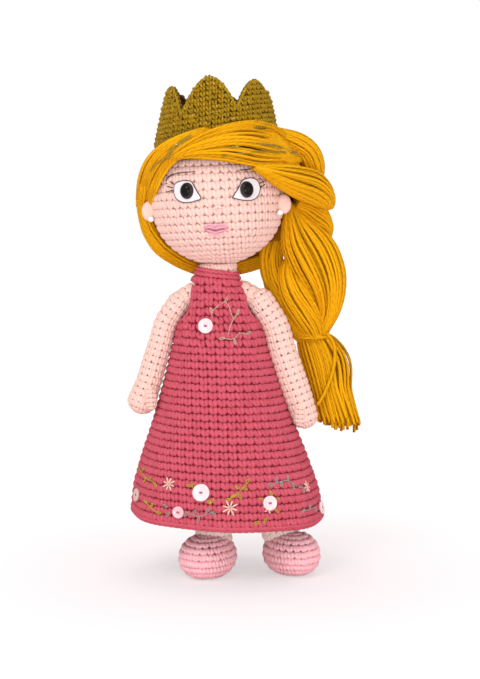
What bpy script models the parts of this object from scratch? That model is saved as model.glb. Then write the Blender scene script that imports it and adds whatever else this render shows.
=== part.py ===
"""A crocheted amigurumi doll: a stuffed body with swinging arms and legs, a dress, yarn hair and a crown.

Metres, +Z up. The doll faces -Y and stands on z = 0, and +X is its own left side.
"""

import math

import bmesh
import bpy
from mathutils import Matrix, Vector

# Clearances
GAP = 0.0003
SOCKET_GAP = 0.0004
CUT_OVERRUN = 0.02
MERGE = 0.000001
SHARE_STEP = 0.01

# Feet and legs
SHOE_LENGTH = 0.044
SHOE_WIDTH = 0.0335
SHOE_HEIGHT = 0.0255
SHOE_FORWARD = 0.0065
SHOE_OUT = 0.001
SOLE_DEPTH = 0.0012
SOLE_FULLNESS_SHARE = 0.68
TOE_OUT_ANGLE = math.radians(20)
LEG_RADIUS = 0.0117
ANKLE_RADIUS = 0.0108
FOOT_INSET = 0.0034
HIP_HEIGHT = 0.070
HIP_SPREAD = 0.028
STANCE = 0.0436
STANCE_CENTRE_X = 0.0028
STEP_OFFSET = 0.004

# Torso, from the hips to the top of the neck
TORSO_BASE_X = -0.0095
TORSO_LEAN = 0.008
TORSO_HEIGHT = 0.122
HIP_HALF_WIDTH = 0.026
WAIST_HALF_WIDTH = 0.0205
SHOULDER_HALF_WIDTH = 0.0172
NECK_HALF_WIDTH = 0.0118
TORSO_DEPTH_SHARE = 0.82
TORSO_BOTTOM_SHARE = 0.6
TORSO_RISE = 0.016
TORSO_ROWS = 12
TORSO_CAP_SHARE = 0.3
SHOULDER_SLOPE = (SHOULDER_HALF_WIDTH + NECK_HALF_WIDTH) / 2
BELLY_HALF_WIDTH = 0.75 * WAIST_HALF_WIDTH + 0.25 * HIP_HALF_WIDTH
TORSO_WIDTH_SHARES = (
    (0.0, HIP_HALF_WIDTH),
    (0.16, HIP_HALF_WIDTH),
    (0.38, BELLY_HALF_WIDTH),
    (0.59, WAIST_HALF_WIDTH),
    (0.76, SHOULDER_HALF_WIDTH),
    (0.85, SHOULDER_SLOPE),
    (0.92, NECK_HALF_WIDTH),
    (1.0, NECK_HALF_WIDTH),
)

# Head
HEAD_WIDTH = 0.0805
HEAD_DEPTH = 0.076
HEAD_HEIGHT = 0.084
HEAD_TILT = math.radians(-3)
HEAD_SINK = 0.002

# Dress
DRESS_LENGTH = 0.151
DRESS_WALL = 0.0026
HEM_WIDTH = 0.119
HEM_CENTRE_X = -0.0115
HEM_TILT = math.radians(2.6)
DRESS_DEPTH_SHARE = 0.84
COLLAR_DROP = 0.005
COLLAR_BITE = 0.0018
FOLD_DEPTH = 0.0009
FOLD_COUNT = 7
DRESS_FLARE_SHARES = (
    (0.0, 0.0),
    (0.05, 0.06),
    (0.095, 0.139),
    (0.207, 0.275),
    (0.32, 0.371),
    (0.42, 0.458),
    (0.51, 0.544),
    (0.61, 0.648),
    (0.74, 0.8),
    (0.875, 0.94),
    (1.0, 1.0),
)

# Arms
SHOULDER_RADIUS = 0.0080
FOREARM_RADIUS = 0.0085
RIGHT_HAND_RADIUS = 0.0094
LEFT_HAND_RADIUS = 0.0080
SHOULDER_SINK = 0.0042
RIGHT_ARM_LENGTH = 0.0695
LEFT_ARM_LENGTH = 0.078
ARM_FORWARD = 0.003
ARM_CLEAR = 0.0014
ARM_DROP = 0.019
ARMHOLE_EASE = 0.0052
THUMB_RADIUS = 0.003
THUMB_LENGTH = 0.007
HAND_CAP_SHARE = 0.85
THUMB_ROOT_SHARES = Vector((-0.45, -0.62, 0.9))
THUMB_REACH_SHARES = Vector((-0.1, -0.35, -1.0))

# Face
EYE_DIAMETER = 0.008
EYE_DOME = 0.0032
EYE_POST_RADIUS = 0.0017
EYE_POST_LENGTH = 0.0115
WASHER_RADIUS = 0.0045
WASHER_THICKNESS = 0.0016
FELT_THICKNESS = 0.0009
EYE_WHITE_WIDTH = 0.0158
EYE_WHITE_HEIGHT = 0.0128
EYE_ACROSS_SHARE = 0.445
EYE_UP_SHARE = 0.07
LIPS_WIDTH = 0.0148
LIPS_HEIGHT = 0.0074
LIPS_THICKNESS = 0.0016
LIPS_DOWN_SHARE = 0.455
EAR_WIDTH = 0.0090
EAR_HEIGHT = 0.0118
EAR_DEPTH = 0.0075
EAR_DOWN_SHARE = 0.17
RIGHT_EAR_OUT = 0.002
RIGHT_EAR_BACK = 0.001
LEFT_EAR_OUT = 0
LEFT_EAR_BACK = -0.010
PEARL_DIAMETER = 0.0036
LID_SHARES = (0.86, 0.2)
BROW_SHARES = (1.0, 0.18)
BOW_SHARES = (0.3, 0.22)
RIGHT_PEARL_SHARES = (-0.13, 0.42)
LEFT_PEARL_SHARES = (-0.28, 0.42)

# Hair
DOME_SIDE = 0.0078
DOME_TOP = 0.0082
DOME_BACK = 0.0080
DOME_SHIFT_X = 0.0045
DOME_SHIFT_Y = 0.003
CROWN_TILT = math.radians(-9)
NAPE_CUT_SHARE = 0.72
FACE_BACK = -0.003
FRINGE_ACROSS = 0.0115
FRINGE_DEEP = 0.0070
SWOOP_RADIUS = 0.0105
LOCK_RADIUS = 0.0083
BRAID_BALL_RADIUS = 0.009
BRAID_SIDE = 0.0585
BRAID_BACK = 0.014
BRAID_LENGTH = 0.089
BRAID_HALF_WIDTH = 0.0205
BRAID_HALF_DEPTH = 0.0123
TIE_NECK_RADIUS = 0.0055
TIE_YARN_RADIUS = 0.0022
TASSEL_LENGTH = 0.053
TASSEL_HALF_WIDTH = 0.0172
TASSEL_HALF_DEPTH = 0.0108
BRAID_ROOM_SHARE = 0.8
BRAID_BACK_SHARE = 0.28
SWOOP_DEPTH_SHARE = 0.9
TASSEL_END_SHARE = 0.35
BRAID_SHARES = (
    (0.12, 0.02, 0.64, 0.82),
    (0.3, 0.04, 0.83, 1.0),
    (0.52, 0.03, 1.0, 1.0),
    (0.7, 0.02, 0.93, 1.0),
    (0.84, 0.03, 0.66, 0.85),
)
BRAID_TIP_SHARES = ((0.95, 0.05, 1.2), (1.0, 0.06, 1.0))
TASSEL_SHARES = ((0.25, 0.03, 0.75, 0.8), (0.6, 0.09, 0.95, 1.0), (1.0, 0.17, 1.0, 1.0))
FACE_OPENING_SHARES = (
    (-1.8, -1.7),
    (1.8, -1.7),
    (1.8, 0.03),
    (1.03, 0.03),
    (0.9, 0.2),
    (0.66, 0.42),
    (0.1, 0.55),
    (-0.46, 0.57),
    (-0.78, 0.4),
    (-0.95, 0.2),
    (-1.02, 0.03),
    (-1.8, 0.03),
)
UPPER_SWOOP_SHARES = ((0.35, 0.2, 0.74), (0.84, 0.26, 0.78), (1.17, 0.32, 0.62), (1.41, 0.36, 0.27))
LOWER_SWOOP_SHARES = ((0.3, -0.94, 0.58), (0.72, -0.76, 0.52), (1.08, -0.4, 0.38), (1.47, -0.02, 0.16))
FRINGE_SHARES = (
    (-0.98, -0.3, 0.34),
    (-0.76, -0.68, 0.6),
    (-0.3, -0.9, 0.74),
    (0.18, -0.9, 0.7),
    (0.5, -0.82, 0.6),
)
SIDE_LOCK_SHARES = (
    (-0.86, 0.0, 0.44),
    (-0.99, 0.16, 0.12),
    (-1.03, 0.28, -0.16),
    (-0.96, 0.36, -0.48),
    (-0.8, 0.44, -0.74),
    (-0.55, 0.54, -0.92),
    (-0.2, 0.68, -1.02),
    (0.2, 0.74, -1.02),
    (0.62, 0.74, -0.94),
)

# Crown
CROWN_RADIUS = 0.0375
CROWN_TOP_RADIUS = 0.0305
CROWN_HEIGHT = 0.033
CROWN_BAND = 0.0140
CROWN_WALL = 0.0026
CROWN_LIFT = 0.0012
CROWN_POINTS = 6
CROWN_TURN = math.radians(-7)
CROWN_LEAN_SHARE = 0.17
CROWN_RISE_SHARES = (0.912, -0.103, -0.069, 0.1)

# Buttons, each with its turn about the dress and its place down it
BUTTON_THICKNESS = 0.0019
BUTTON_RIM = 0.0006
BUTTON_HOLE_RADIUS = 0.00055
BUTTON_HOLE_PITCH = 0.0016
CHEST_BUTTON_DIAMETER = 0.0092
CHEST_BUTTON_TURN = math.radians(-17.5)
CHEST_BUTTON_SHARE = 0.218
LARGE_BUTTON = 0.0104
MIDDLE_BUTTON = 0.0088
SMALL_BUTTON = 0.0072
EDGE_BUTTON = 0.0080
HEM_BUTTONS = (
    (LARGE_BUTTON, math.radians(-14.5), 0.858),
    (SMALL_BUTTON, math.radians(-29), 0.942),
    (MIDDLE_BUTTON, math.radians(27), 0.894),
    (EDGE_BUTTON, math.radians(-69), 0.91),
    (EDGE_BUTTON, math.radians(81), 0.95),
    (LARGE_BUTTON, math.radians(128), 0.87),
    (SMALL_BUTTON, math.radians(146), 0.94),
    (MIDDLE_BUTTON, math.radians(186), 0.9),
    (LARGE_BUTTON, math.radians(232), 0.87),
)

# Colours, as linear values
SKIN = (0.93, 0.66, 0.55)
ROSE = (0.63, 0.10, 0.15)
GOLD_YARN = (0.83, 0.43, 0.01)
OLD_GOLD = (0.35, 0.21, 0.01)
SHOE_PINK = (0.86, 0.35, 0.42)
BUTTON_PINK = (0.90, 0.60, 0.66)
FELT_WHITE = (0.85, 0.84, 0.86)
BLACK = (0.004, 0.004, 0.004)
LIP_PINK = (0.80, 0.34, 0.42)
PEARL_WHITE = (0.88, 0.86, 0.84)
WASHER_GREY = (0.62, 0.62, 0.62)

# Numbers of faces
FULL_TURN = 2 * math.pi
DRESS_SIDES = 42
CROWN_SIDES = 60
CROWN_ROWS = 4
LIMB_SIDES = 14
TORSO_SIDES = 18
BUTTON_SIDES = 14
SHARP_ANGLE = math.radians(50)
CAP_RINGS = 3


def clear_scene():
    for thing in list(bpy.data.objects):
        bpy.data.objects.remove(thing, do_unlink=True)


def new_collection(name, shown):
    collection = bpy.data.collections.new(name)
    bpy.context.scene.collection.children.link(collection)
    collection.hide_render = not shown
    return collection


def material(name, colour, roughness):
    made = bpy.data.materials.new(name)
    made.use_nodes = True
    shader = made.node_tree.nodes["Principled BSDF"]
    shader.inputs["Base Color"].default_value = (*colour, 1)
    shader.inputs["Roughness"].default_value = roughness
    return made


def place(shape, name, look=None, parent=None, at=(0, 0, 0), helper=False):
    """The object of a bmesh, in the doll's collection or, for a helper, among the cutters."""
    mesh = bpy.data.meshes.new(name)
    shape.to_mesh(mesh)
    shape.free()
    made = bpy.data.objects.new(name, mesh)
    made.location = at
    made.parent = parent
    (cutters if helper else doll).objects.link(made)
    if helper:
        made.hide_render = True
        made.display_type = "WIRE"
    if look:
        mesh.materials.append(look)
    mesh.shade_smooth()
    mesh.set_sharp_from_angle(angle=SHARP_ANGLE)
    return made


def empty(name, at, tilt=0.0):
    made = bpy.data.objects.new(name, None)
    made.location = at
    made.rotation_euler.y = tilt
    doll.objects.link(made)
    bpy.context.view_layer.update()
    return made


def between(table, share):
    """The row of a table at a share of its length, on a smooth curve through its rows."""
    scaled = min(max(share, 0), 1) * (len(table) - 1)
    first = min(int(scaled), len(table) - 2)
    part = scaled - first
    rows = [table[min(max(first + step, 0), len(table) - 1)] for step in (-1, 0, 1, 2)]
    found = []
    for a, b, c, d in zip(*rows):
        bend = 2 * a - 5 * b + 4 * c - d
        twist = 3 * (b - c) + d - a
        found.append(b + 0.5 * part * (c - a + part * (bend + part * twist)))
    return found


def on_table(table, share):
    """The value beside a share, in a table of pairs of a share and its value."""
    for (low, start), (high, end) in zip(table, table[1:]):
        if share <= high:
            return start + (end - start) * (share - low) / (high - low)
    return table[-1][1]


def limb(route, sides=LIMB_SIDES, rings=12, first_cap=1.0, last_cap=1.0):
    """A stuffed shape along a route of rows: x, y, z, half width and half depth. Its ends are rounded."""
    shape = bmesh.new()
    bmesh.ops.create_uvsphere(shape, u_segments=sides, v_segments=rings + 2 * CAP_RINGS, radius=1)
    for vertex in shape.verts:
        angle = math.asin(min(max(vertex.co.z, -1), 1)) + math.pi / 2
        ring = round(angle / math.pi * (rings + 2 * CAP_RINGS))
        share = min(max((ring - CAP_RINGS) / rings, 0), 1)
        row = between(route, share)
        ahead = Vector(between(route, share + SHARE_STEP)[:3])
        behind = Vector(between(route, share - SHARE_STEP)[:3])
        along = (ahead - behind).normalized()
        across = Vector((0, 1, 0)).cross(along).normalized()
        deep = along.cross(across)
        past = CAP_RINGS - ring if ring < CAP_RINGS else max(ring - rings - CAP_RINGS, 0)
        turn = past / CAP_RINGS * math.pi / 2
        reach = math.sin(turn) * math.sqrt(row[3] * row[4])
        reach *= -first_cap if ring < CAP_RINGS else last_cap
        flat = Vector((vertex.co.x, vertex.co.y))
        flat = flat.normalized() * math.cos(turn) if flat.length > MERGE else flat * 0
        centre = Vector(row[:3]) + along * reach
        vertex.co = centre + across * flat.x * row[3] + deep * flat.y * row[4]
    return shape


def ellipsoid(width, depth, height, sides=32, rings=20):
    shape = bmesh.new()
    bmesh.ops.create_uvsphere(shape, u_segments=sides, v_segments=rings, radius=0.5)
    bmesh.ops.scale(shape, vec=(width, depth, height), verts=shape.verts)
    return shape


def turned(profile, sides):
    """The sheet that a profile of radius and height makes in one turn about Z."""
    shape = bmesh.new()
    points = [shape.verts.new((radius, 0, height)) for radius, height in profile]
    edges = [shape.edges.new(pair) for pair in zip(points, points[1:])]
    bmesh.ops.spin(
        shape,
        geom=points + edges,
        axis=(0, 0, 1),
        cent=(0, 0, 0),
        angle=FULL_TURN,
        steps=sides,
        use_merge=True,
    )
    bmesh.ops.remove_doubles(shape, verts=shape.verts, dist=MERGE)
    bmesh.ops.recalc_face_normals(shape, faces=shape.faces)
    return shape


def face_outwards(shape, axis_x=0.0):
    """Turns the faces of an open sheet away from an upright axis."""
    facing = 0.0
    for face in shape.faces:
        middle = face.calc_center_median()
        facing += face.normal.dot(Vector((middle.x - axis_x, middle.y, 0)))
    if facing < 0:
        bmesh.ops.reverse_faces(shape, faces=shape.faces)


def block(low, high, name, parent=None):
    """A box from one corner to the other, as a cutter."""
    shape = bmesh.new()
    bmesh.ops.create_cube(shape, size=1)
    bmesh.ops.scale(shape, vec=Vector(high) - Vector(low), verts=shape.verts)
    bmesh.ops.translate(shape, vec=(Vector(high) + Vector(low)) / 2, verts=shape.verts)
    return place(shape, name, parent=parent, helper=True)


def ball(radius, name, at):
    return place(ellipsoid(2 * radius, 2 * radius, 2 * radius), name, at=at, helper=True)


def cut(piece, *others, operation="DIFFERENCE", solver="EXACT"):
    for other in others:
        step = piece.modifiers.new(other.name, "BOOLEAN")
        step.operation = operation
        step.solver = solver
        step.object = other


def grown(piece, gap=GAP):
    """A cutter of the piece's present shape, larger by the gap all round."""
    bpy.context.view_layer.update()
    graph = bpy.context.evaluated_depsgraph_get()
    mesh = bpy.data.meshes.new_from_object(piece.evaluated_get(graph))
    shape = bmesh.new()
    shape.from_mesh(mesh)
    bmesh.ops.remove_doubles(shape, verts=shape.verts, dist=MERGE)
    shape.transform(piece.matrix_world)
    shape.normal_update()
    moves = [vertex.normal * gap for vertex in shape.verts]
    for vertex, move in zip(shape.verts, moves):
        vertex.co += move
    bpy.data.meshes.remove(mesh)
    return place(shape, piece.name + "_clearance", helper=True)


def solid_sheet(piece, wall, outwards=False):
    step = piece.modifiers.new("wall", "SOLIDIFY")
    step.thickness = wall
    step.offset = 1 if outwards else -1
    step.use_even_offset = True


# Heights that several pieces share
NECK_TOP = HIP_HEIGHT + TORSO_HEIGHT
TORSO_TOP_X = TORSO_BASE_X - TORSO_LEAN
HEAD_CENTRE = Vector((TORSO_TOP_X, 0, NECK_TOP + HEAD_HEIGHT / 2 - HEAD_SINK))
COLLAR_HEIGHT = NECK_TOP - COLLAR_DROP
COLLAR_HALF_WIDTH = NECK_HALF_WIDTH + DRESS_WALL - COLLAR_BITE
DOME_SIZE = Vector(
    (HEAD_WIDTH + 2 * DOME_SIDE, HEAD_DEPTH + 2 * DOME_BACK, HEAD_HEIGHT + 2 * DOME_TOP)
)
DOME_CENTRE = HEAD_CENTRE + Vector((DOME_SHIFT_X, DOME_SHIFT_Y, 0))


def dress_point(turn, share):
    """A point on the dress's outside. A turn of 0 faces the front, and the share runs from collar to hem."""
    flare = on_table(DRESS_FLARE_SHARES, share)
    half = COLLAR_HALF_WIDTH + flare * (HEM_WIDTH / 2 - COLLAR_HALF_WIDTH)
    fold = FOLD_DEPTH * share**3 * math.cos(FOLD_COUNT * turn)
    centre_x = TORSO_TOP_X + share * (HEM_CENTRE_X - TORSO_TOP_X)
    across = (half + fold) * math.sin(turn)
    deep = -(half + fold) * math.cos(turn) * (1 - (1 - DRESS_DEPTH_SHARE) * min(1, 4 * flare))
    lower = across * math.tan(HEM_TILT) * share
    return Vector((centre_x + across, deep, COLLAR_HEIGHT - share * DRESS_LENGTH - lower))


def dress_frame(turn, share):
    """The place and turn of something that lies flat on the dress's outside."""
    step = SHARE_STEP
    point = dress_point(turn, share)
    right = (dress_point(turn + step, share) - dress_point(turn - step, share)).normalized()
    up = (dress_point(turn, share - step) - dress_point(turn, share + step)).normalized()
    out = right.cross(up).normalized()
    return Matrix.Translation(point + out * GAP) @ Matrix((right, up, out)).transposed().to_4x4()


def dress_side(height, side):
    """How far out the dress's side is at a height. The side is 1 for the doll's left and -1 for its right."""
    low, high = 0.0, 1.0
    for _ in range(30):
        middle = (low + high) / 2
        if dress_point(side * math.pi / 2, middle).z > height:
            low = middle
        else:
            high = middle
    return dress_point(side * math.pi / 2, (low + high) / 2).x


def make_head():
    head = place(
        ellipsoid(HEAD_WIDTH, HEAD_DEPTH, HEAD_HEIGHT, sides=28, rings=18),
        "head",
        looks["skin"],
        parent=head_frame,
    )
    return head


def make_torso():
    """The body, which swells at the hips and narrows to the neck."""
    route = []
    low = HIP_HEIGHT + TORSO_RISE
    for step in range(TORSO_ROWS + 1):
        share = step / TORSO_ROWS
        half = on_table(TORSO_WIDTH_SHARES, share)
        depth = TORSO_DEPTH_SHARE + (1 - TORSO_DEPTH_SHARE) * share**4
        height = low + share * (NECK_TOP - low)
        route.append((TORSO_BASE_X - share * TORSO_LEAN, 0, height, half, half * depth))
    caps = {"first_cap": TORSO_BOTTOM_SHARE, "last_cap": TORSO_CAP_SHARE}
    shape = limb(route, sides=TORSO_SIDES, rings=TORSO_ROWS - 1, **caps)
    return place(shape, "torso", looks["skin"])


def make_dress():
    """A flared shell from a close collar to a wide hem, with soft folds."""
    shares = [share for share, _ in DRESS_FLARE_SHARES]
    shape = turned([(1, share) for share in reversed(shares)], DRESS_SIDES)
    for vertex in shape.verts:
        turn = math.atan2(vertex.co.x, -vertex.co.y)
        vertex.co = dress_point(turn, vertex.co.z)
    shape.normal_update()
    face_outwards(shape, axis_x=TORSO_BASE_X)
    dress = place(shape, "dress", looks["rose"])
    solid_sheet(dress, DRESS_WALL)
    return dress


def arm_route(side, length, hand_radius):
    """The arm's rows from its shoulder down, close along the dress's side."""
    top = COLLAR_HEIGHT - ARM_DROP
    halves = (
        SHOULDER_RADIUS,
        SHOULDER_RADIUS,
        (SHOULDER_RADIUS + FOREARM_RADIUS) / 2,
        FOREARM_RADIUS,
        FOREARM_RADIUS,
        hand_radius,
    )
    route = []
    for step, half in enumerate(halves):
        share = step / (len(halves) - 1)
        height = top - share * (length - SHOULDER_RADIUS)
        out = dress_side(height, side) + side * (half + ARM_CLEAR)
        if step == 0:
            out -= side * SHOULDER_SINK
        route.append((out, -ARM_FORWARD, height, half, half))
    return route


def make_arm(name, side, length, hand_radius):
    route = arm_route(side, length, hand_radius)
    arm = place(limb(route, rings=10, last_cap=HAND_CAP_SHARE), name, looks["skin"])
    hand = Vector(route[-1][:3])
    mirror = Matrix.Diagonal((side, 1, 1))
    start = hand + mirror @ THUMB_ROOT_SHARES * hand_radius
    end = start + mirror @ THUMB_REACH_SHARES * THUMB_LENGTH
    rows = [(*start, THUMB_RADIUS, THUMB_RADIUS), (*end, THUMB_RADIUS, THUMB_RADIUS)]
    thumb = place(limb(rows, sides=12, rings=3), name + "_thumb", helper=True)
    cut(arm, thumb, operation="UNION")
    return arm, Vector(route[0][:3])


def make_leg(name, side, forward):
    """A leg from its hip to the foot, and the shoe that holds the foot."""
    hip = Vector((TORSO_BASE_X + side * HIP_SPREAD / 2, 0, HIP_HEIGHT))
    foot = Vector((STANCE_CENTRE_X + side * STANCE / 2, -forward, FOOT_INSET + ANKLE_RADIUS))
    knee = hip.lerp(foot, 0.5)
    route = [
        (*hip, LEG_RADIUS, LEG_RADIUS),
        (*knee, LEG_RADIUS, LEG_RADIUS),
        (*foot, ANKLE_RADIUS, ANKLE_RADIUS),
    ]
    leg = place(limb(route, rings=6), name + "_leg", looks["skin"])
    shape = ellipsoid(SHOE_WIDTH, SHOE_LENGTH, SHOE_HEIGHT + SOLE_DEPTH, sides=24, rings=12)
    half = (SHOE_HEIGHT + SOLE_DEPTH) / 2
    for vertex in shape.verts:
        if vertex.co.z < 0:
            depth = min(-vertex.co.z / half, 1)
            width = math.sqrt(max(1 - depth * depth, 0))
            fuller = width**SOLE_FULLNESS_SHARE / width if width > SHARE_STEP else 1
            vertex.co.x *= fuller
            vertex.co.y *= fuller
            vertex.co.z = -half * depth**SOLE_FULLNESS_SHARE
    at = Vector((foot.x + side * SHOE_OUT, foot.y, half - SOLE_DEPTH))
    shoe = place(shape, name + "_shoe", looks["shoe_pink"], at=at)
    shoe.rotation_euler.z = side * TOE_OUT_ANGLE
    shoe.location += Vector((side * math.sin(TOE_OUT_ANGLE), -math.cos(TOE_OUT_ANGLE), 0)) * SHOE_FORWARD
    low = (-SHOE_WIDTH - CUT_OVERRUN, -SHOE_LENGTH - CUT_OVERRUN, -CUT_OVERRUN)
    high = (SHOE_WIDTH + CUT_OVERRUN, SHOE_LENGTH + CUT_OVERRUN, 0)
    floor = block(low, high, name + "_floor")
    floor.location = (at.x, at.y, 0)
    cut(shoe, floor, grown(leg))
    return leg, shoe, hip


def face_point(across, up):
    """The depth of the head's front at a place on the face, in the head's frame."""
    inside = 1 - (2 * across / HEAD_WIDTH) ** 2 - (2 * up / HEAD_HEIGHT) ** 2
    return -HEAD_DEPTH / 2 * math.sqrt(max(inside, 0))


def face_normal(across, up):
    depth = face_point(across, up)
    slope = (across / HEAD_WIDTH**2, depth / HEAD_DEPTH**2, up / HEAD_HEIGHT**2)
    return Vector(slope).normalized()


def face_patch(name, centre, width, lower, upper, thickness, look, columns=10, rows=3):
    """A patch of felt or thread on the face, between a lower and an upper edge given over its width."""
    shape = bmesh.new()
    bmesh.ops.create_grid(shape, x_segments=columns, y_segments=rows, size=1)
    for vertex in shape.verts:
        across = vertex.co.x
        part = (vertex.co.y + 1) / 2
        up = lower(across) + part * (upper(across) - lower(across))
        x = centre.x + across * width / 2
        z = centre.y + up
        vertex.co = Vector((x, face_point(x, z), z)) + face_normal(x, z) * GAP
    bmesh.ops.remove_doubles(shape, verts=shape.verts, dist=MERGE)
    bmesh.ops.recalc_face_normals(shape, faces=shape.faces)
    if sum(face.normal.y for face in shape.faces) > 0:
        bmesh.ops.reverse_faces(shape, faces=shape.faces)
    patch = place(shape, name, look, parent=head_frame)
    solid_sheet(patch, thickness, outwards=True)
    return patch


def rod(radius, length, sides=16):
    shape = bmesh.new()
    bmesh.ops.create_cone(
        shape, cap_ends=True, segments=sides, radius1=radius, radius2=radius, depth=length
    )
    return shape


def make_eye(name, side):
    """A white felt almond, a black domed eye on a post, and the washer that holds the post in the head."""
    centre = Vector((side * EYE_ACROSS_SHARE * HEAD_WIDTH / 2, EYE_UP_SHARE * HEAD_HEIGHT / 2))
    half = EYE_WHITE_HEIGHT / 2

    def lower(across):
        return -half * (1 - across**2) * (LID_SHARES[0] - LID_SHARES[1] * side * across)

    def upper(across):
        return half * (1 - across**4) * (BROW_SHARES[0] + BROW_SHARES[1] * side * across)

    white = face_patch(
        name + "_eye_white", centre, EYE_WHITE_WIDTH, lower, upper, FELT_THICKNESS, looks["felt"]
    )
    out = face_normal(centre.x, centre.y)
    seat = Vector((centre.x, face_point(centre.x, centre.y), centre.y))
    seat += out * (FELT_THICKNESS + 2 * GAP)
    turn = out.to_track_quat("Z", "Y").to_matrix().to_4x4()
    frame = Matrix.Translation(seat) @ turn
    radius = EYE_DIAMETER / 2
    dome = [
        (radius * math.cos(step * math.pi / 10), EYE_DOME * math.sin(step * math.pi / 10))
        for step in range(5, -1, -1)
    ]
    post = [(EYE_POST_RADIUS, 0), (EYE_POST_RADIUS, -EYE_POST_LENGTH), (0, -EYE_POST_LENGTH)]
    eye = place(turned(dome + post, 20), name + "_eye", looks["black"], parent=head_frame)
    eye.matrix_local = frame
    washer_profile = (
        (EYE_POST_RADIUS + GAP, WASHER_THICKNESS / 2),
        (WASHER_RADIUS, WASHER_THICKNESS / 2),
        (WASHER_RADIUS, -WASHER_THICKNESS / 2),
        (EYE_POST_RADIUS + GAP, -WASHER_THICKNESS / 2),
        (EYE_POST_RADIUS + GAP, WASHER_THICKNESS / 2),
    )
    washer = place(turned(washer_profile, 20), name + "_eye_washer", looks["washer"], parent=head_frame)
    inside = frame @ Matrix.Translation((0, 0, -EYE_POST_LENGTH + WASHER_THICKNESS))
    washer.matrix_local = inside
    bore = place(rod(EYE_POST_RADIUS + GAP, 2 * (EYE_POST_LENGTH + GAP)), name + "_bore", helper=True)
    bore.parent = head_frame
    bore.matrix_local = frame
    cavity = place(
        rod(WASHER_RADIUS + GAP, WASHER_THICKNESS + 2 * GAP, sides=20), name + "_cavity", helper=True
    )
    cavity.parent = head_frame
    cavity.matrix_local = inside
    cut(white, bore)
    cut(head, bore, cavity)


def make_lips():
    """Lips in the shape of a bow."""
    centre = Vector((0, -LIPS_DOWN_SHARE * HEAD_HEIGHT / 2))
    half = LIPS_HEIGHT / 2

    def lower(across):
        return -half * (1 - across**2)

    def upper(across):
        dip_share = BOW_SHARES[0] * math.exp(-((across / BOW_SHARES[1]) ** 2))
        return half * (1 - across**4) * (1 - dip_share)

    return face_patch("lips", centre, LIPS_WIDTH, lower, upper, LIPS_THICKNESS, looks["lip_pink"])


def make_ear(name, side, outwards, back, pearl_shares):
    """An oval ear against the head's side, with a pearl on its lobe."""
    up = -EAR_DOWN_SHARE * HEAD_HEIGHT / 2
    out = HEAD_WIDTH / 2 * math.sqrt(1 - (2 * up / HEAD_HEIGHT) ** 2)
    at = Vector((side * (out + outwards), back - EAR_DEPTH / 2, up))
    shape = ellipsoid(EAR_WIDTH, EAR_DEPTH, EAR_HEIGHT, sides=16, rings=10)
    ear = place(shape, name + "_ear", looks["skin"], parent=head_frame, at=at)
    cut(ear, head_clearance)
    pearl = PEARL_DIAMETER / 2
    out_share, down_share = pearl_shares
    front_share = math.sqrt(1 - (2 * down_share) ** 2 - SHARE_STEP)
    front = EAR_DEPTH / 2 * front_share + pearl + GAP
    lobe = at + Vector((side * EAR_WIDTH * out_share, -front, -EAR_HEIGHT * down_share))
    bead = ellipsoid(PEARL_DIAMETER, PEARL_DIAMETER, PEARL_DIAMETER, sides=14, rings=8)
    place(bead, name + "_earring", looks["pearl"], parent=head_frame, at=lobe)
    return ear


def make_hair_cap():
    """The thick layer of yarn over the skull, open at the face and at the nape."""
    shape = ellipsoid(*DOME_SIZE, sides=28, rings=16)
    cap = place(shape, "hair_cap", looks["gold_yarn"], parent=hair_frame)
    dome = grown(cap)
    dome.name = "hair_dome_clearance"
    width = HEAD_WIDTH / 2
    height = HEAD_HEIGHT / 2
    face = bmesh.new()
    corners = [face.verts.new((x * width, -FACE_BACK, z * height)) for x, z in FACE_OPENING_SHARES]
    front = face.faces.new(corners)
    pulled = bmesh.ops.extrude_face_region(face, geom=[front])["geom"]
    moved = [item for item in pulled if isinstance(item, bmesh.types.BMVert)]
    bmesh.ops.translate(face, vec=(0, -HEAD_DEPTH - CUT_OVERRUN, 0), verts=moved)
    bmesh.ops.recalc_face_normals(face, faces=face.faces)
    opening = place(face, "face_opening", parent=head_frame, helper=True)
    reach = DOME_SIZE + Vector((CUT_OVERRUN, CUT_OVERRUN, CUT_OVERRUN))
    low = (-reach.x, -reach.y, -reach.z)
    high = (reach.x, reach.y, -NAPE_CUT_SHARE * HEAD_HEIGHT / 2)
    nape = block(low, high, "nape_opening", parent=head_frame)
    beside = block(
        (braid_ball.x - BRAID_ROOM_SHARE * BRAID_HALF_WIDTH, -reach.y, HIP_HEIGHT),
        (braid_ball.x + reach.x, reach.y, braid_ball.z + SOCKET_GAP),
        "braid_room",
    )
    cut(cap, head_clearance, opening, nape, beside)
    return cap, dome, beside


def in_hair(x, y, z):
    """A place given from the head's centre as shares of its half sizes."""
    return HEAD_CENTRE + Vector((x * HEAD_WIDTH / 2, y * HEAD_DEPTH / 2, z * HEAD_HEIGHT / 2))


def hair_piece(name, place_shares, half, depth, rings=9, **caps):
    route = [(*in_hair(*shares), half, depth) for shares in place_shares]
    return place(limb(route, rings=rings, **caps), name, looks["gold_yarn"])


def make_swoops():
    """The two thick strands that carry the hair from the head over to the braid."""
    upper = hair_piece("hair_swoop_upper", UPPER_SWOOP_SHARES, SWOOP_RADIUS, SWOOP_RADIUS)
    lower_depth = SWOOP_RADIUS * SWOOP_DEPTH_SHARE
    lower = hair_piece("hair_swoop_lower", LOWER_SWOOP_SHARES, SWOOP_RADIUS, lower_depth)
    return upper, lower


def make_fringe():
    """The front sweep over the forehead."""
    return hair_piece("hair_fringe", FRINGE_SHARES, FRINGE_ACROSS, FRINGE_DEEP, rings=11)


def make_side_lock():
    """The long lock that leaves the right temple, rounds the jaw and passes behind the neck."""
    return hair_piece("side_lock", SIDE_LOCK_SHARES, LOCK_RADIUS, LOCK_RADIUS, rings=16)


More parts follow.
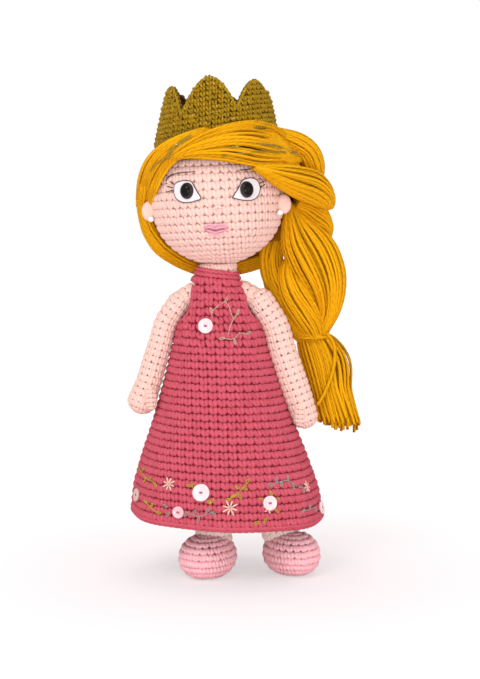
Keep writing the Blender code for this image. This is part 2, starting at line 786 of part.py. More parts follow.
def make_braid():
    """The plait: a ball that turns under the swoops, the thick body and the narrow neck inside its tie."""
    x, y, z = braid_ball
    rows = [(0.0, 0.0, BRAID_BALL_RADIUS, BRAID_BALL_RADIUS)]
    for share, out, wide, deep in BRAID_SHARES:
        rows.append((share, out, BRAID_HALF_WIDTH * wide, BRAID_HALF_DEPTH * deep))
    for share, out, round_share in BRAID_TIP_SHARES:
        rows.append((share, out, TIE_NECK_RADIUS * round_share, TIE_NECK_RADIUS * round_share))
    back = BRAID_BACK * BRAID_BACK_SHARE
    route = [
        (x + out * BRAID_LENGTH, y + back * min(1, 4 * share), z - share * BRAID_LENGTH, half, depth)
        for share, out, half, depth in rows
    ]
    braid = place(limb(route, sides=18, rings=15), "braid", looks["gold_yarn"])
    end = Vector(route[-1][:3])
    ring = TIE_NECK_RADIUS + GAP + TIE_YARN_RADIUS
    profile = [
        (
            ring + TIE_YARN_RADIUS * math.cos(step * FULL_TURN / 10),
            TIE_YARN_RADIUS * math.sin(step * FULL_TURN / 10),
        )
        for step in range(10, -1, -1)
    ]
    place(turned(profile, 20), "hair_tie", looks["gold_yarn"], at=end - Vector((0, 0, TIE_YARN_RADIUS)))
    top = TIE_NECK_RADIUS + GAP + TIE_NECK_RADIUS
    tassel_rows = [(0.0, 0.0, TIE_NECK_RADIUS, TIE_NECK_RADIUS)]
    for share, out, wide, deep in TASSEL_SHARES:
        tassel_rows.append((share, out, TASSEL_HALF_WIDTH * wide, TASSEL_HALF_DEPTH * deep))
    span = TASSEL_LENGTH - top
    route = [
        (end.x + out * TASSEL_LENGTH, end.y, end.z - top - share * span, half, depth)
        for share, out, half, depth in tassel_rows
    ]
    place(limb(route, sides=18, rings=8, last_cap=TASSEL_END_SHARE), "tassel", looks["gold_yarn"])
    return braid


def crown_height(turn):
    """The height of the crown's edge at a turn about it: a band that carries rounded points side by side."""
    part = abs(((turn - CROWN_TURN) / FULL_TURN * CROWN_POINTS + 0.5) % 1 - 0.5) * 2
    even, across, both, forward = CROWN_RISE_SHARES
    rise = even + across * math.sin(turn) + both * math.sin(turn) ** 2 + forward * math.cos(turn)
    return rise * (CROWN_BAND + (CROWN_HEIGHT - CROWN_BAND) * (1 - part**2))


def make_crown():
    """A crocheted crown with six blunt points, leaning in towards its tips."""
    shape = turned([(1, row / CROWN_ROWS) for row in range(CROWN_ROWS, -1, -1)], CROWN_SIDES)
    seat = math.sqrt(1 - (2 * (CROWN_RADIUS - CROWN_WALL) / DOME_SIZE.x) ** 2) * DOME_SIZE.z / 2
    for vertex in shape.verts:
        turn = math.atan2(vertex.co.x, -vertex.co.y)
        height = vertex.co.z * crown_height(turn)
        radius = CROWN_RADIUS + (CROWN_TOP_RADIUS - CROWN_RADIUS) * height / CROWN_HEIGHT
        low = seat + CROWN_LIFT
        across = radius * math.sin(turn) + CROWN_LEAN_SHARE * height
        vertex.co = (across, -radius * math.cos(turn), low + height)
    shape.normal_update()
    face_outwards(shape)
    crown = place(shape, "crown", looks["old_gold"], parent=hair_frame)
    solid_sheet(crown, CROWN_WALL)
    return crown


def make_button(name, diameter, turn, share):
    """A round button with a raised rim and two holes, flat on the dress."""
    radius = diameter / 2
    profile = (
        (0, BUTTON_THICKNESS - BUTTON_RIM),
        (radius - 2 * BUTTON_RIM, BUTTON_THICKNESS - BUTTON_RIM),
        (radius - BUTTON_RIM, BUTTON_THICKNESS),
        (radius, BUTTON_THICKNESS / 2),
        (radius - BUTTON_RIM, 0),
        (0, 0),
    )
    button = place(turned(profile, BUTTON_SIDES), name, looks["button_pink"])
    button.matrix_world = dress_frame(turn, share)
    bpy.context.view_layer.update()
    for side in (-1, 1):
        hole = place(rod(BUTTON_HOLE_RADIUS, 4 * BUTTON_THICKNESS, sides=6), name + "_hole", helper=True)
        offset = Matrix.Translation((side * BUTTON_HOLE_PITCH / 2, 0, 0))
        hole.matrix_world = button.matrix_world @ offset
        cut(button, hole)


clear_scene()
doll = new_collection("amigurumi_doll", shown=True)
cutters = new_collection("cutters", shown=False)
looks = {
    "skin": material("skin yarn", SKIN, 0.9),
    "rose": material("rose yarn", ROSE, 0.9),
    "gold_yarn": material("golden yarn", GOLD_YARN, 0.85),
    "old_gold": material("old gold metallic yarn", OLD_GOLD, 0.5),
    "shoe_pink": material("pink yarn", SHOE_PINK, 0.9),
    "button_pink": material("pink button", BUTTON_PINK, 0.35),
    "felt": material("white felt", FELT_WHITE, 0.95),
    "black": material("black plastic", BLACK, 0.08),
    "lip_pink": material("lip thread", LIP_PINK, 0.7),
    "pearl": material("pearl", PEARL_WHITE, 0.2),
    "washer": material("grey plastic", WASHER_GREY, 0.5),
}
head_frame = empty("head_frame", HEAD_CENTRE, HEAD_TILT)
hair_frame = empty("hair_frame", DOME_CENTRE, CROWN_TILT)
braid_ball = Vector((HEAD_CENTRE.x + BRAID_SIDE, BRAID_BACK, HEAD_CENTRE.z))

head = make_head()
head_clearance = grown(head)
torso = make_torso()
dress = make_dress()
cut(torso, head_clearance, grown(dress))

for name, side, length, hand_radius in (
    ("right_arm", -1, RIGHT_ARM_LENGTH, RIGHT_HAND_RADIUS),
    ("left_arm", 1, LEFT_ARM_LENGTH, LEFT_HAND_RADIUS),
):
    arm, shoulder = make_arm(name, side, length, hand_radius)
    cut(torso, ball(SHOULDER_RADIUS + SOCKET_GAP, name + "_socket", shoulder))
    cut(dress, ball(SHOULDER_RADIUS + ARMHOLE_EASE, name + "_hole", shoulder))

for name, side, forward in (("right", -1, STEP_OFFSET), ("left", 1, -STEP_OFFSET)):
    leg, shoe, hip = make_leg(name, side, forward)
    cut(torso, ball(LEG_RADIUS + SOCKET_GAP, name + "_hip_socket", hip))

for name, side in (("right", -1), ("left", 1)):
    make_eye(name, side)
make_ear("right", -1, RIGHT_EAR_OUT, RIGHT_EAR_BACK, RIGHT_PEARL_SHARES)
make_ear("left", 1, LEFT_EAR_OUT, LEFT_EAR_BACK, LEFT_PEARL_SHARES)
make_lips()

hair_cap, dome_clearance, braid_room = make_hair_cap()
upper_swoop, lower_swoop = make_swoops()
fringe = make_fringe()
side_lock = make_side_lock()
braid = make_braid()
crown = make_crown()
socket = ball(BRAID_BALL_RADIUS + SOCKET_GAP, "braid_socket", braid_ball)
cut(hair_cap, socket)
cap_clearance = grown(hair_cap)
fringe_clearance = grown(fringe)
upper_clearance = grown(upper_swoop)
cut(fringe, head_clearance, dome_clearance)
cut(side_lock, head_clearance, cap_clearance, fringe_clearance)
cut(upper_swoop, dome_clearance, socket, braid_room)
near_lower = (dome_clearance, socket, braid_room, fringe_clearance, upper_clearance)
cut(lower_swoop, *near_lower, solver="MANIFOLD")
cut(crown, dome_clearance, fringe_clearance, upper_clearance)

make_button("chest_button", CHEST_BUTTON_DIAMETER, CHEST_BUTTON_TURN, CHEST_BUTTON_SHARE)
for number, (diameter, turn, share) in enumerate(HEM_BUTTONS, start=1):
    make_button(f"hem_button_{number}", diameter, turn, share)
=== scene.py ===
"""A crocheted amigurumi doll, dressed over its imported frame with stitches, yarn hair, felt and thread.

Metres, +Z up. The doll faces -Y, and +X is its own left.
"""

import logging
import math
from dataclasses import dataclass, field
from enum import Enum
from typing import Any, Callable, Iterable, Optional, Sequence

import bmesh
import bpy
import numpy as np
from mathutils import Matrix, Vector
from mathutils.bvhtree import BVHTree


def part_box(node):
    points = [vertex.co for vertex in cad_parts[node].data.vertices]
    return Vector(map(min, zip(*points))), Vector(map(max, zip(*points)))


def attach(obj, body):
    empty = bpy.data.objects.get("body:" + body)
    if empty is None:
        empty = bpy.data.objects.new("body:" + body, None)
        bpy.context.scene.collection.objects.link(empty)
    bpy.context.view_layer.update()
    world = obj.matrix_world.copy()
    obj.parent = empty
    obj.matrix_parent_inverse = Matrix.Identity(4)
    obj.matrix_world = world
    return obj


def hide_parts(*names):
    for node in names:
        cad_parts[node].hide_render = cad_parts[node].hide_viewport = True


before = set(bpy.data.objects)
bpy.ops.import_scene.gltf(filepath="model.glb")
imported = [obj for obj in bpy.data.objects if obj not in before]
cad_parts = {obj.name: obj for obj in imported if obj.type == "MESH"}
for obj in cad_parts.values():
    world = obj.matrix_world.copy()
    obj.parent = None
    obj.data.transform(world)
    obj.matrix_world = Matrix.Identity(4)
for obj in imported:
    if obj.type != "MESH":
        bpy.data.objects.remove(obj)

Points = np.ndarray
Colour = tuple[float, float, float]
Row = tuple[float, ...]
MM = 0.001
FULL_TURN = 2 * math.pi
GOLDEN_ANGLE = 2.39996
FORWARD = np.array((0.0, -1.0, 0.0))
SHOULDERS = ((-42.86 * MM, -3 * MM, 168 * MM), (9.28 * MM, -3 * MM, 168 * MM))
DOME_CENTRE = (-13 * MM, 3 * MM, 232 * MM)
LOG = logging.getLogger("doll")


class Body(str, Enum):
    """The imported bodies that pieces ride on."""

    BODY = "body"
    RIGHT_ARM = "right_arm"
    LEFT_ARM = "left_arm"
    RIGHT_LEG = "right_leg"
    LEFT_LEG = "left_leg"
    BRAID = "braid"


class Side(Enum):
    """The doll's own sides, as the sign of X."""

    RIGHT = -1
    LEFT = 1


# Curves


def smooth(rows: Sequence[Row], share: Points) -> Points:
    """Reads a table along a smooth curve through its rows.

    Args:
        rows: The table's rows, one point or set of sizes each.
        share: Shares of the table's length, from 0 to 1.

    Returns:
        One row for each share.
    """
    table = np.asarray(rows, float)
    scaled = np.clip(share, 0, 1) * (len(table) - 1)
    first = np.minimum(scaled.astype(int), len(table) - 2)
    part = (scaled - first)[..., None]
    a, b, c, d = (table[np.clip(first + step, 0, len(table) - 1)] for step in (-1, 0, 1, 2))
    bend = 2 * a - 5 * b + 4 * c - d
    twist = 3 * (b - c) + d - a
    return b + 0.5 * part * (c - a + part * (bend + part * twist))


def unit(vectors: Points) -> Points:
    """Vectors of length one along the last axis."""
    return vectors / np.maximum(np.linalg.norm(vectors, axis=-1, keepdims=True), 1e-12)


# The camera


@dataclass(frozen=True)
class Sight:
    """The camera, and the places that it sees through a pixel of the picture."""

    place: tuple[float, float, float] = (-3.72 * MM, -950 * MM, 229.1 * MM)
    pitch: float = math.radians(5.1)
    focal: float = 1559.0
    size: tuple[int, int] = (480, 679)
    sensor: float = 36.0

    def ray(self, u: float, v: float) -> Vector:
        """The direction from the camera through a pixel."""
        across = (u - self.size[0] / 2) / self.focal
        up = (self.size[1] / 2 - v) / self.focal
        cosine, sine = math.cos(self.pitch), math.sin(self.pitch)
        return Vector((across, cosine + up * sine, up * cosine - sine)).normalized()

    def at(self, u: Points, v: Points, y: Points) -> Points:
        """The places where the rays through pixels meet depths.

        Args:
            u: Pixel columns.
            v: Pixel rows.
            y: Depths along Y, in metres.

        Returns:
            Points in metres.
        """
        across = (np.asarray(u, float) - self.size[0] / 2) / self.focal
        up = (self.size[1] / 2 - np.asarray(v, float)) / self.focal
        cosine, sine = math.cos(self.pitch), math.sin(self.pitch)
        reach = (y - self.place[1]) / (cosine + up * sine)
        x = self.place[0] + across * reach
        z = self.place[2] + (up * cosine - sine) * reach
        return np.stack(np.broadcast_arrays(x, y, z), axis=-1)

    def camera(self) -> None:
        """Places the camera and makes it the scene's."""
        data = bpy.data.cameras.new("camera")
        data.sensor_fit = "VERTICAL"
        data.sensor_height = self.sensor
        data.lens = self.focal * self.sensor / self.size[1]
        data.clip_start, data.clip_end = 0.01, 20
        made = placed("camera", data)
        made.location = self.place
        made.rotation_euler = (math.pi / 2 - self.pitch, 0, 0)
        bpy.context.scene.camera = made


SIGHT = Sight()


class Skin:
    """A surface on which threads, felt and strands are laid."""

    def __init__(self, shape: bmesh.types.BMesh) -> None:
        """Reads a mesh, which is freed.

        Args:
            shape: The surface.
        """
        shape.normal_update()
        self.tree = BVHTree.FromBMesh(shape)
        shape.free()

    @classmethod
    def of_nodes(cls, *nodes: str, egg: Optional["Oval"] = None) -> "Skin":
        """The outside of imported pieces, with or without an egg shape around them."""
        shape = bmesh.new()
        for node in nodes:
            shape.from_mesh(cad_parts[node].data)
        bmesh.ops.remove_doubles(shape, verts=shape.verts, dist=1e-6)
        if egg:
            egg.add_to(shape)
        return cls(shape)

    @classmethod
    def of_egg(cls, egg: "Oval") -> "Skin":
        """The outside of an egg shape."""
        shape = bmesh.new()
        egg.add_to(shape)
        return cls(shape)

    def seen(self, u: float, v: float, lift: float = 0.0) -> tuple[Vector, Vector]:
        """The place on the surface behind a pixel, or beside it where the ray passes by.

        Args:
            u: The pixel's column.
            v: The pixel's row.
            lift: How far the place stands off the surface.

        Returns:
            The place and the surface's direction there.
        """
        start = Vector(SIGHT.place)
        ray = SIGHT.ray(u, v)
        hit, normal, _, _ = self.tree.ray_cast(start, ray)
        if hit is None:
            beside = start + ray * -start.y
            hit, normal, _, _ = self.tree.find_nearest(beside)
        if normal.dot(ray) > 0:
            normal = -normal
        return hit + normal * lift, normal

    def line(self, pixels: Sequence[Row], lift: float, count: int) -> tuple[Points, Points]:
        """A thread's route over the surface.

        Args:
            pixels: The pixels that the thread passes behind.
            lift: How far it stands off the surface.
            count: The number of points on the route.

        Returns:
            The route's points and the surface's directions.
        """
        found = [self.seen(u, v, lift) for u, v in smooth(pixels, np.linspace(0, 1, count))]
        return np.array([place for place, _ in found]), np.array([out for _, out in found])

    def depths(self, pixels: Points, even: int = 2) -> Points:
        """The depths along Y behind rows of pixels, evened out along each row.

        Args:
            pixels: Columns and rows, strands by points by 2.
            even: How many times the depths are evened.

        Returns:
            One depth for each point, in metres.
        """
        found = np.array([[self.seen(u, v)[0].y for u, v in row] for row in pixels])
        for _ in range(even):
            padded = np.pad(found, ((0, 0), (2, 2)), mode="edge")
            found = sum(padded[:, step : step + found.shape[1]] for step in range(5)) / 5
        return found


# Shader maths


class Wire:
    """A shader value that takes part in Python expressions."""

    def __init__(self, board: "Board", socket: bpy.types.NodeSocket) -> None:
        """Keeps the node board and the output socket."""
        self.board = board
        self.socket = socket

    def _math(self, operation: str, first: Any, second: Any = 0.0) -> "Wire":
        return self.board.node("ShaderNodeMath", {"operation": operation}, {0: first, 1: second})

    def __add__(self, other: Any) -> "Wire":
        """The sum with a value or a number."""
        return self._math("ADD", self, other)

    __radd__ = __add__

    def __sub__(self, other: Any) -> "Wire":
        """The difference from a value or a number."""
        return self._math("SUBTRACT", self, other)

    def __rsub__(self, other: Any) -> "Wire":
        """A number less this value."""
        return self._math("SUBTRACT", other, self)

    def __mul__(self, other: Any) -> "Wire":
        """The product with a value or a number."""
        return self._math("MULTIPLY", self, other)

    __rmul__ = __mul__

    def __pow__(self, other: Any) -> "Wire":
        """This value raised to a power."""
        return self._math("POWER", self, other)

    def sine(self) -> "Wire":
        """The sine of this value in radians."""
        return self._math("SINE", self)

    def above(self, low: float, high: float) -> "Wire":
        """A ramp from 0 at one value to 1 at another."""
        settings = {"clamp": True}
        return self.board.node("ShaderNodeMapRange", settings, {0: self, 1: low, 2: high, 3: 0.0, 4: 1.0})


class Board:
    """The nodes of one material."""

    def __init__(self, name: str) -> None:
        """Makes a material with only its shader and output."""
        self.material = bpy.data.materials.new(name)
        self.material.use_nodes = True
        self.tree = self.material.node_tree
        self.shader = self.tree.nodes["Principled BSDF"]

    def node(self, kind: str, settings: dict[str, Any], values: dict[Any, Any], out: Any = 0) -> Wire:
        """Adds one node.

        Args:
            kind: The node's type.
            settings: Its properties, set before its sockets.
            values: The values or wires of its sockets, by name or number.
            out: The output wanted.

        Returns:
            The wire of that output.
        """
        made = self.tree.nodes.new(kind)
        for name, value in settings.items():
            setattr(made, name, value)
        for name, value in values.items():
            self.join(made.inputs[name], value)
        return Wire(self, made.outputs[out])

    def join(self, socket: bpy.types.NodeSocket, value: Any) -> None:
        """Links a wire to a socket, or sets the socket's value."""
        if isinstance(value, Wire):
            self.tree.links.new(value.socket, socket)
        elif isinstance(value, tuple) and len(value) == 3 and socket.type == "RGBA":
            socket.default_value = (*value, 1)
        else:
            socket.default_value = value

    def mix(self, share: Any, first: Any, second: Any) -> Wire:
        """A colour between two others."""
        return self.node("ShaderNodeMix", {"data_type": "RGBA"}, {0: share, 6: first, 7: second}, out=2)

    def place(self) -> Wire:
        """The place on the piece."""
        return self.node("ShaderNodeTexCoord", {}, {}, out="Object")

    def noise(self, scale: float, detail: float) -> Wire:
        """A cloudy value over the piece."""
        return self.node("ShaderNodeTexNoise", {}, {"Vector": self.place(), "Scale": scale, "Detail": detail})

    def strand(self) -> tuple[Wire, Wire]:
        """The distance along a strand in millimetres, and the share of the way round it."""
        laid = self.node("ShaderNodeUVMap", {"uv_map": "UVMap"}, {})
        along = self.node("ShaderNodeSeparateXYZ", {}, {0: laid})
        return along, Wire(self, along.socket.node.outputs[1])

    def ply(self, per_mm: float, plies: int) -> Wire:
        """A wave over plies that turn about a strand, from 0 in a groove to 1 on a ply."""
        along, around = self.strand()
        return ((along * per_mm + around * plies) * FULL_TURN).sine() * 0.5 + 0.5

    def side(self) -> Wire:
        """Painted shade mask: 0 where a strand faces away from the piece, and 1 on its sides and underneath, where
        its neighbours shade it.
        """
        return 1 - (self.strand()[1] * FULL_TURN).sine().above(-0.2, 0.85)

    def shade(self) -> Wire:
        """The strand's own shade, from -0.15 to 0.15."""
        return (self.node("ShaderNodeAttribute", {"attribute_name": "shade"}, {}, out="Fac") - 0.5) * 0.3

    def bump(self, height: Wire, distance: float) -> Wire:
        """A normal that follows a height."""
        return self.node("ShaderNodeBump", {}, {"Height": height, "Distance": distance})

    def finish(self, **values: Any) -> bpy.types.Material:
        """Sets the shader's sockets, with underscores for spaces in their names.

        Args:
            values: A value or wire for each socket.

        Returns:
            The finished material.
        """
        for name, value in values.items():
            self.join(self.shader.inputs[name.replace("_", " ")], value)
        return self.material


@dataclass(frozen=True)
class Yarn:
    """Spun yarn: plies that turn about the strand, with a soft fibre surface."""

    name: str
    colour: Colour
    deep: Colour
    pitch: float = 3.2
    plies: int = 3
    # How far the ply grooves are darkened: painted shade.
    groove: float = 0.3
    # How far a strand's sides and underside are darkened: painted shade where its neighbours shade it.
    side_shade: float = 0.5
    relief: float = 0.0001
    fuzz: float = 0.04
    rough: float = 0.9

    def material(self) -> bpy.types.Material:
        """The yarn's material, for tubes with a UV map along and round the strand."""
        board = Board(self.name)
        ply = board.ply(1 / self.pitch, self.plies)
        # Painted shade: the ply grooves and the strand's sides and underside are darkened towards the deep colour.
        # The strand's own shade and the patches add random tone.
        hollow = (1 - ply) ** 2.0 * self.groove + board.side() * self.side_shade
        patch = (board.noise(60.0, 2.0) - 0.5) * 0.3
        dark = (hollow + board.shade() + patch).above(0.0, 1.0)
        height = ply + board.noise(1500.0, 3.0) * 0.6
        return board.finish(
            Base_Color=board.mix(dark, self.colour, self.deep),
            Roughness=self.rough,
            Sheen_Weight=self.fuzz,
            Sheen_Roughness=0.5,
            Specular_IOR_Level=0.08,
            Normal=board.bump(height, self.relief),
        )


@dataclass(frozen=True)
class Lurex:
    """Metallic thread: a flat gold film wound with dull yarn, which glitters in flecks."""

    name: str
    colour: Colour
    deep: Colour
    glint: Colour
    flecks: float = 1500.0

    def material(self) -> bpy.types.Material:
        """The thread's material."""
        board = Board(self.name)
        ply = board.ply(0.9, 2)
        cells = {"Vector": board.place(), "Scale": self.flecks}
        fleck = board.node("ShaderNodeTexVoronoi", {}, cells, out="Color")
        spark = board.node("ShaderNodeSeparateColor", {}, {0: fleck}).above(0.95, 1.0)
        # Painted shade: the ply grooves and the thread's sides and underside are darkened towards the deep colour.
        # The strand's own shade adds random tone.
        dark = ((1 - ply) * 0.25 + board.side() * 1.1 + board.shade()).above(0.0, 1.0)
        return board.finish(
            Base_Color=board.mix(spark, board.mix(dark, self.colour, self.deep), self.glint),
            Metallic=0.2 + spark * 0.6,
            Roughness=0.66 - spark * 0.34,
            Specular_IOR_Level=0.1,
            Normal=board.bump(ply + spark * 0.8, 0.0001),
        )


@dataclass(frozen=True)
class Lining:
    """The inside of the crochet, seen between stitches; most linings are coloured darker than their yarn, as painted
    shade.
    """

    name: str
    colour: Colour
    deep: Colour
    knots: float = 900.0

    def material(self) -> bpy.types.Material:
        """The material of a core under stitches."""
        board = Board(self.name)
        cloud = board.noise(self.knots, 3.0)
        return board.finish(
            Base_Color=board.mix(cloud.above(0.3, 0.7), self.colour, self.deep),
            Roughness=0.95,
            Specular_IOR_Level=0.1,
            Normal=board.bump(cloud, 0.0004),
        )


@dataclass(frozen=True)
class Felt:
    """Pressed felt with short fibres."""

    name: str
    colour: Colour
    deep: Colour

    def material(self) -> bpy.types.Material:
        """The felt's material."""
        board = Board(self.name)
        fibre = board.noise(2600.0, 4.0)
        return board.finish(
            Base_Color=board.mix(fibre.above(0.35, 0.75) * 0.5, self.colour, self.deep),
            Roughness=0.95,
            Sheen_Weight=0.4,
            Specular_IOR_Level=0.2,
            Normal=board.bump(fibre, 0.00012),
        )


@dataclass(frozen=True)
class Gloss:
    """Moulded plastic or pearl with fine wear in its polish."""

    name: str
    colour: Colour
    deep: Colour
    rough: float = 0.1
    coat: float = 0.6
    shine: float = 0.5

    def material(self) -> bpy.types.Material:
        """The polished material."""
        board = Board(self.name)
        cloud = board.noise(350.0, 3.0)
        scuff = board.noise(1800.0, 4.0)
        return board.finish(
            Base_Color=board.mix(cloud.above(0.35, 0.7) * 0.6, self.colour, self.deep),
            Roughness=self.rough + scuff.above(0.45, 0.8) * 0.08,
            Specular_IOR_Level=self.shine,
            Coat_Weight=self.coat,
            Coat_Roughness=0.05,
        )


class Finish(Enum):
    """The doll's finishes."""

    SKIN = Yarn("skin yarn", (0.82, 0.57, 0.50), (0.70, 0.42, 0.35), groove=0.06, side_shade=0.15, relief=0.00004)
    # The legs' skin yarn, painted lighter than the skin yarn to offset the shade under the dress.
    PALE = Yarn("pale skin yarn", (0.97, 0.80, 0.72), (0.86, 0.62, 0.53), groove=0.06, side_shade=0.15, relief=0.00004)
    ROSE = Yarn("rose yarn", (0.57, 0.098, 0.138), (0.34, 0.028, 0.052), groove=0.2, side_shade=0.4)
    GOLD = Yarn("golden yarn", (0.78, 0.38, 0.004), (0.30, 0.11, 0.0005), pitch=5.0, side_shade=0.8, fuzz=0.0)
    PINK = Yarn("shoe yarn", (0.90, 0.50, 0.54), (0.70, 0.30, 0.34), groove=0.12, side_shade=0.2)
    CROWN = Lurex("crown lurex", (0.38, 0.23, 0.009), (0.07, 0.03, 0.001), (0.80, 0.58, 0.12))
    CORD = Lurex("hair lurex", (0.42, 0.27, 0.03), (0.18, 0.10, 0.006), (0.9, 0.78, 0.40))
    # Painted shade: the skin, rose, golden, shoe and crown linings are darker than their yarn, standing for the shade
    # between stitches. The body lining is near the skin's own colour.
    SKIN_LINING = Lining("skin lining", (0.66, 0.38, 0.30), (0.56, 0.30, 0.23))
    BODY_LINING = Lining("body lining", (0.86, 0.60, 0.52), (0.78, 0.51, 0.43))
    ROSE_LINING = Lining("rose lining", (0.24, 0.016, 0.036), (0.15, 0.009, 0.02))
    GOLD_LINING = Lining("golden lining", (0.30, 0.11, 0.001), (0.20, 0.07, 0.001))
    PINK_LINING = Lining("shoe lining", (0.54, 0.20, 0.23), (0.42, 0.14, 0.17))
    CROWN_LINING = Lining("crown lining", (0.07, 0.035, 0.002), (0.04, 0.02, 0.001))
    WHITE_FELT = Felt("white felt", (0.76, 0.75, 0.77), (0.60, 0.59, 0.62))
    EYE_LINE = Yarn("eye thread", (0.055, 0.018, 0.030), (0.02, 0.006, 0.012), pitch=0.8, plies=2, rough=0.6)
    LIP = Yarn("lip thread", (0.82, 0.40, 0.48), (0.60, 0.22, 0.30), pitch=1.2, plies=2, side_shade=0.3, rough=0.7)
    LIP_LINE = Yarn("lip line", (0.52, 0.13, 0.20), (0.36, 0.07, 0.11), pitch=1.0, plies=2, rough=0.6)
    TAUPE = Yarn("taupe floss", (0.54, 0.40, 0.30), (0.32, 0.22, 0.16), pitch=1.0, plies=2, rough=0.6)
    OLIVE = Yarn("olive floss", (0.50, 0.36, 0.05), (0.30, 0.20, 0.02), pitch=1.0, plies=2, rough=0.6)
    GREY = Yarn("grey floss", (0.36, 0.31, 0.28), (0.22, 0.18, 0.16), pitch=1.0, plies=2, rough=0.6)
    BLUSH = Yarn("blush floss", (0.80, 0.52, 0.44), (0.58, 0.32, 0.26), pitch=1.0, plies=2, rough=0.6)
    EYE = Gloss("black eye", (0.004, 0.003, 0.004), (0.009, 0.006, 0.006), rough=0.05, coat=0.0, shine=0.14)
    IRIS = Gloss("eye rim", (0.040, 0.028, 0.026), (0.022, 0.014, 0.013), rough=0.15, coat=0.0, shine=0.2)
    PEARL = Gloss("pearl", (0.90, 0.88, 0.85), (0.78, 0.80, 0.82), rough=0.12, coat=1.0)
    BUTTON_PALE = Gloss("pale button", (0.88, 0.66, 0.68), (0.82, 0.57, 0.60), rough=0.3, coat=0.3)
    BUTTON_PINK = Gloss("pink button", (0.88, 0.50, 0.55), (0.80, 0.40, 0.46), rough=0.3, coat=0.3)
    BUTTON_STONE = Gloss("stone button", (0.62, 0.46, 0.40), (0.50, 0.35, 0.30), rough=0.35, coat=0.2)
    WASHER = Gloss("grey washer", (0.60, 0.60, 0.60), (0.50, 0.50, 0.50), rough=0.4, coat=0.0)

    def material(self) -> bpy.types.Material:
        """The finish's material, made when first asked for."""
        return bpy.data.materials.get(self.value.name) or self.value.material()


# Pieces


def placed(name: str, data: Any) -> bpy.types.Object:
    """Adds an object with its data to the scene."""
    made = bpy.data.objects.new(name, data)
    bpy.context.scene.collection.objects.link(made)
    return made


def mesh_of(shape: bmesh.types.BMesh, name: str, sharp: float = math.pi) -> bpy.types.Mesh:
    """Makes a smooth mesh of a shape, which is freed, with its edges past an angle left sharp."""
    mesh = bpy.data.meshes.new(name)
    shape.to_mesh(mesh)
    shape.free()
    mesh.shade_smooth()
    if sharp < math.pi:
        mesh.set_sharp_from_angle(angle=sharp)
    return mesh


def piece(
    mesh: bpy.types.Mesh, finish: Finish, slot: str, stands_for: Iterable[str] = (), body: Body = Body.BODY
) -> bpy.types.Object:
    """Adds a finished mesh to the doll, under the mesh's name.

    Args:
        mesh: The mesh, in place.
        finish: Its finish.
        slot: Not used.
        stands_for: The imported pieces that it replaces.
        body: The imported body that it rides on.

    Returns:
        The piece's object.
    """
    made = placed(mesh.name, mesh)
    mesh.materials.append(finish.material())
    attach(made, body.value)
    if stands_for:
        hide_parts(*stands_for)
    LOG.info("%s: %d faces", mesh.name, len(mesh.polygons))
    return made


def turned_mesh(name: str, profile: Sequence[tuple[float, float]], frame_at: Matrix, sides: int) -> bpy.types.Mesh:
    """A round piece from a profile of radius and height, turned about its own Z.

    Args:
        name: The mesh's name.
        profile: Radius and height of each point, from the top.
        frame_at: Where the piece stands.
        sides: The number of faces round it.

    Returns:
        The mesh, in place.
    """
    shape = bmesh.new()
    points = [shape.verts.new((radius, 0, height)) for radius, height in profile]
    edges = [shape.edges.new(pair) for pair in zip(points, points[1:])]
    turned = {"axis": (0, 0, 1), "cent": (0, 0, 0), "angle": FULL_TURN, "steps": sides, "use_merge": True}
    bmesh.ops.spin(shape, geom=points + edges, **turned)
    bmesh.ops.remove_doubles(shape, verts=shape.verts, dist=1e-6)
    bmesh.ops.recalc_face_normals(shape, faces=shape.faces)
    bmesh.ops.transform(shape, matrix=frame_at, verts=shape.verts)
    return mesh_of(shape, name, math.radians(60))


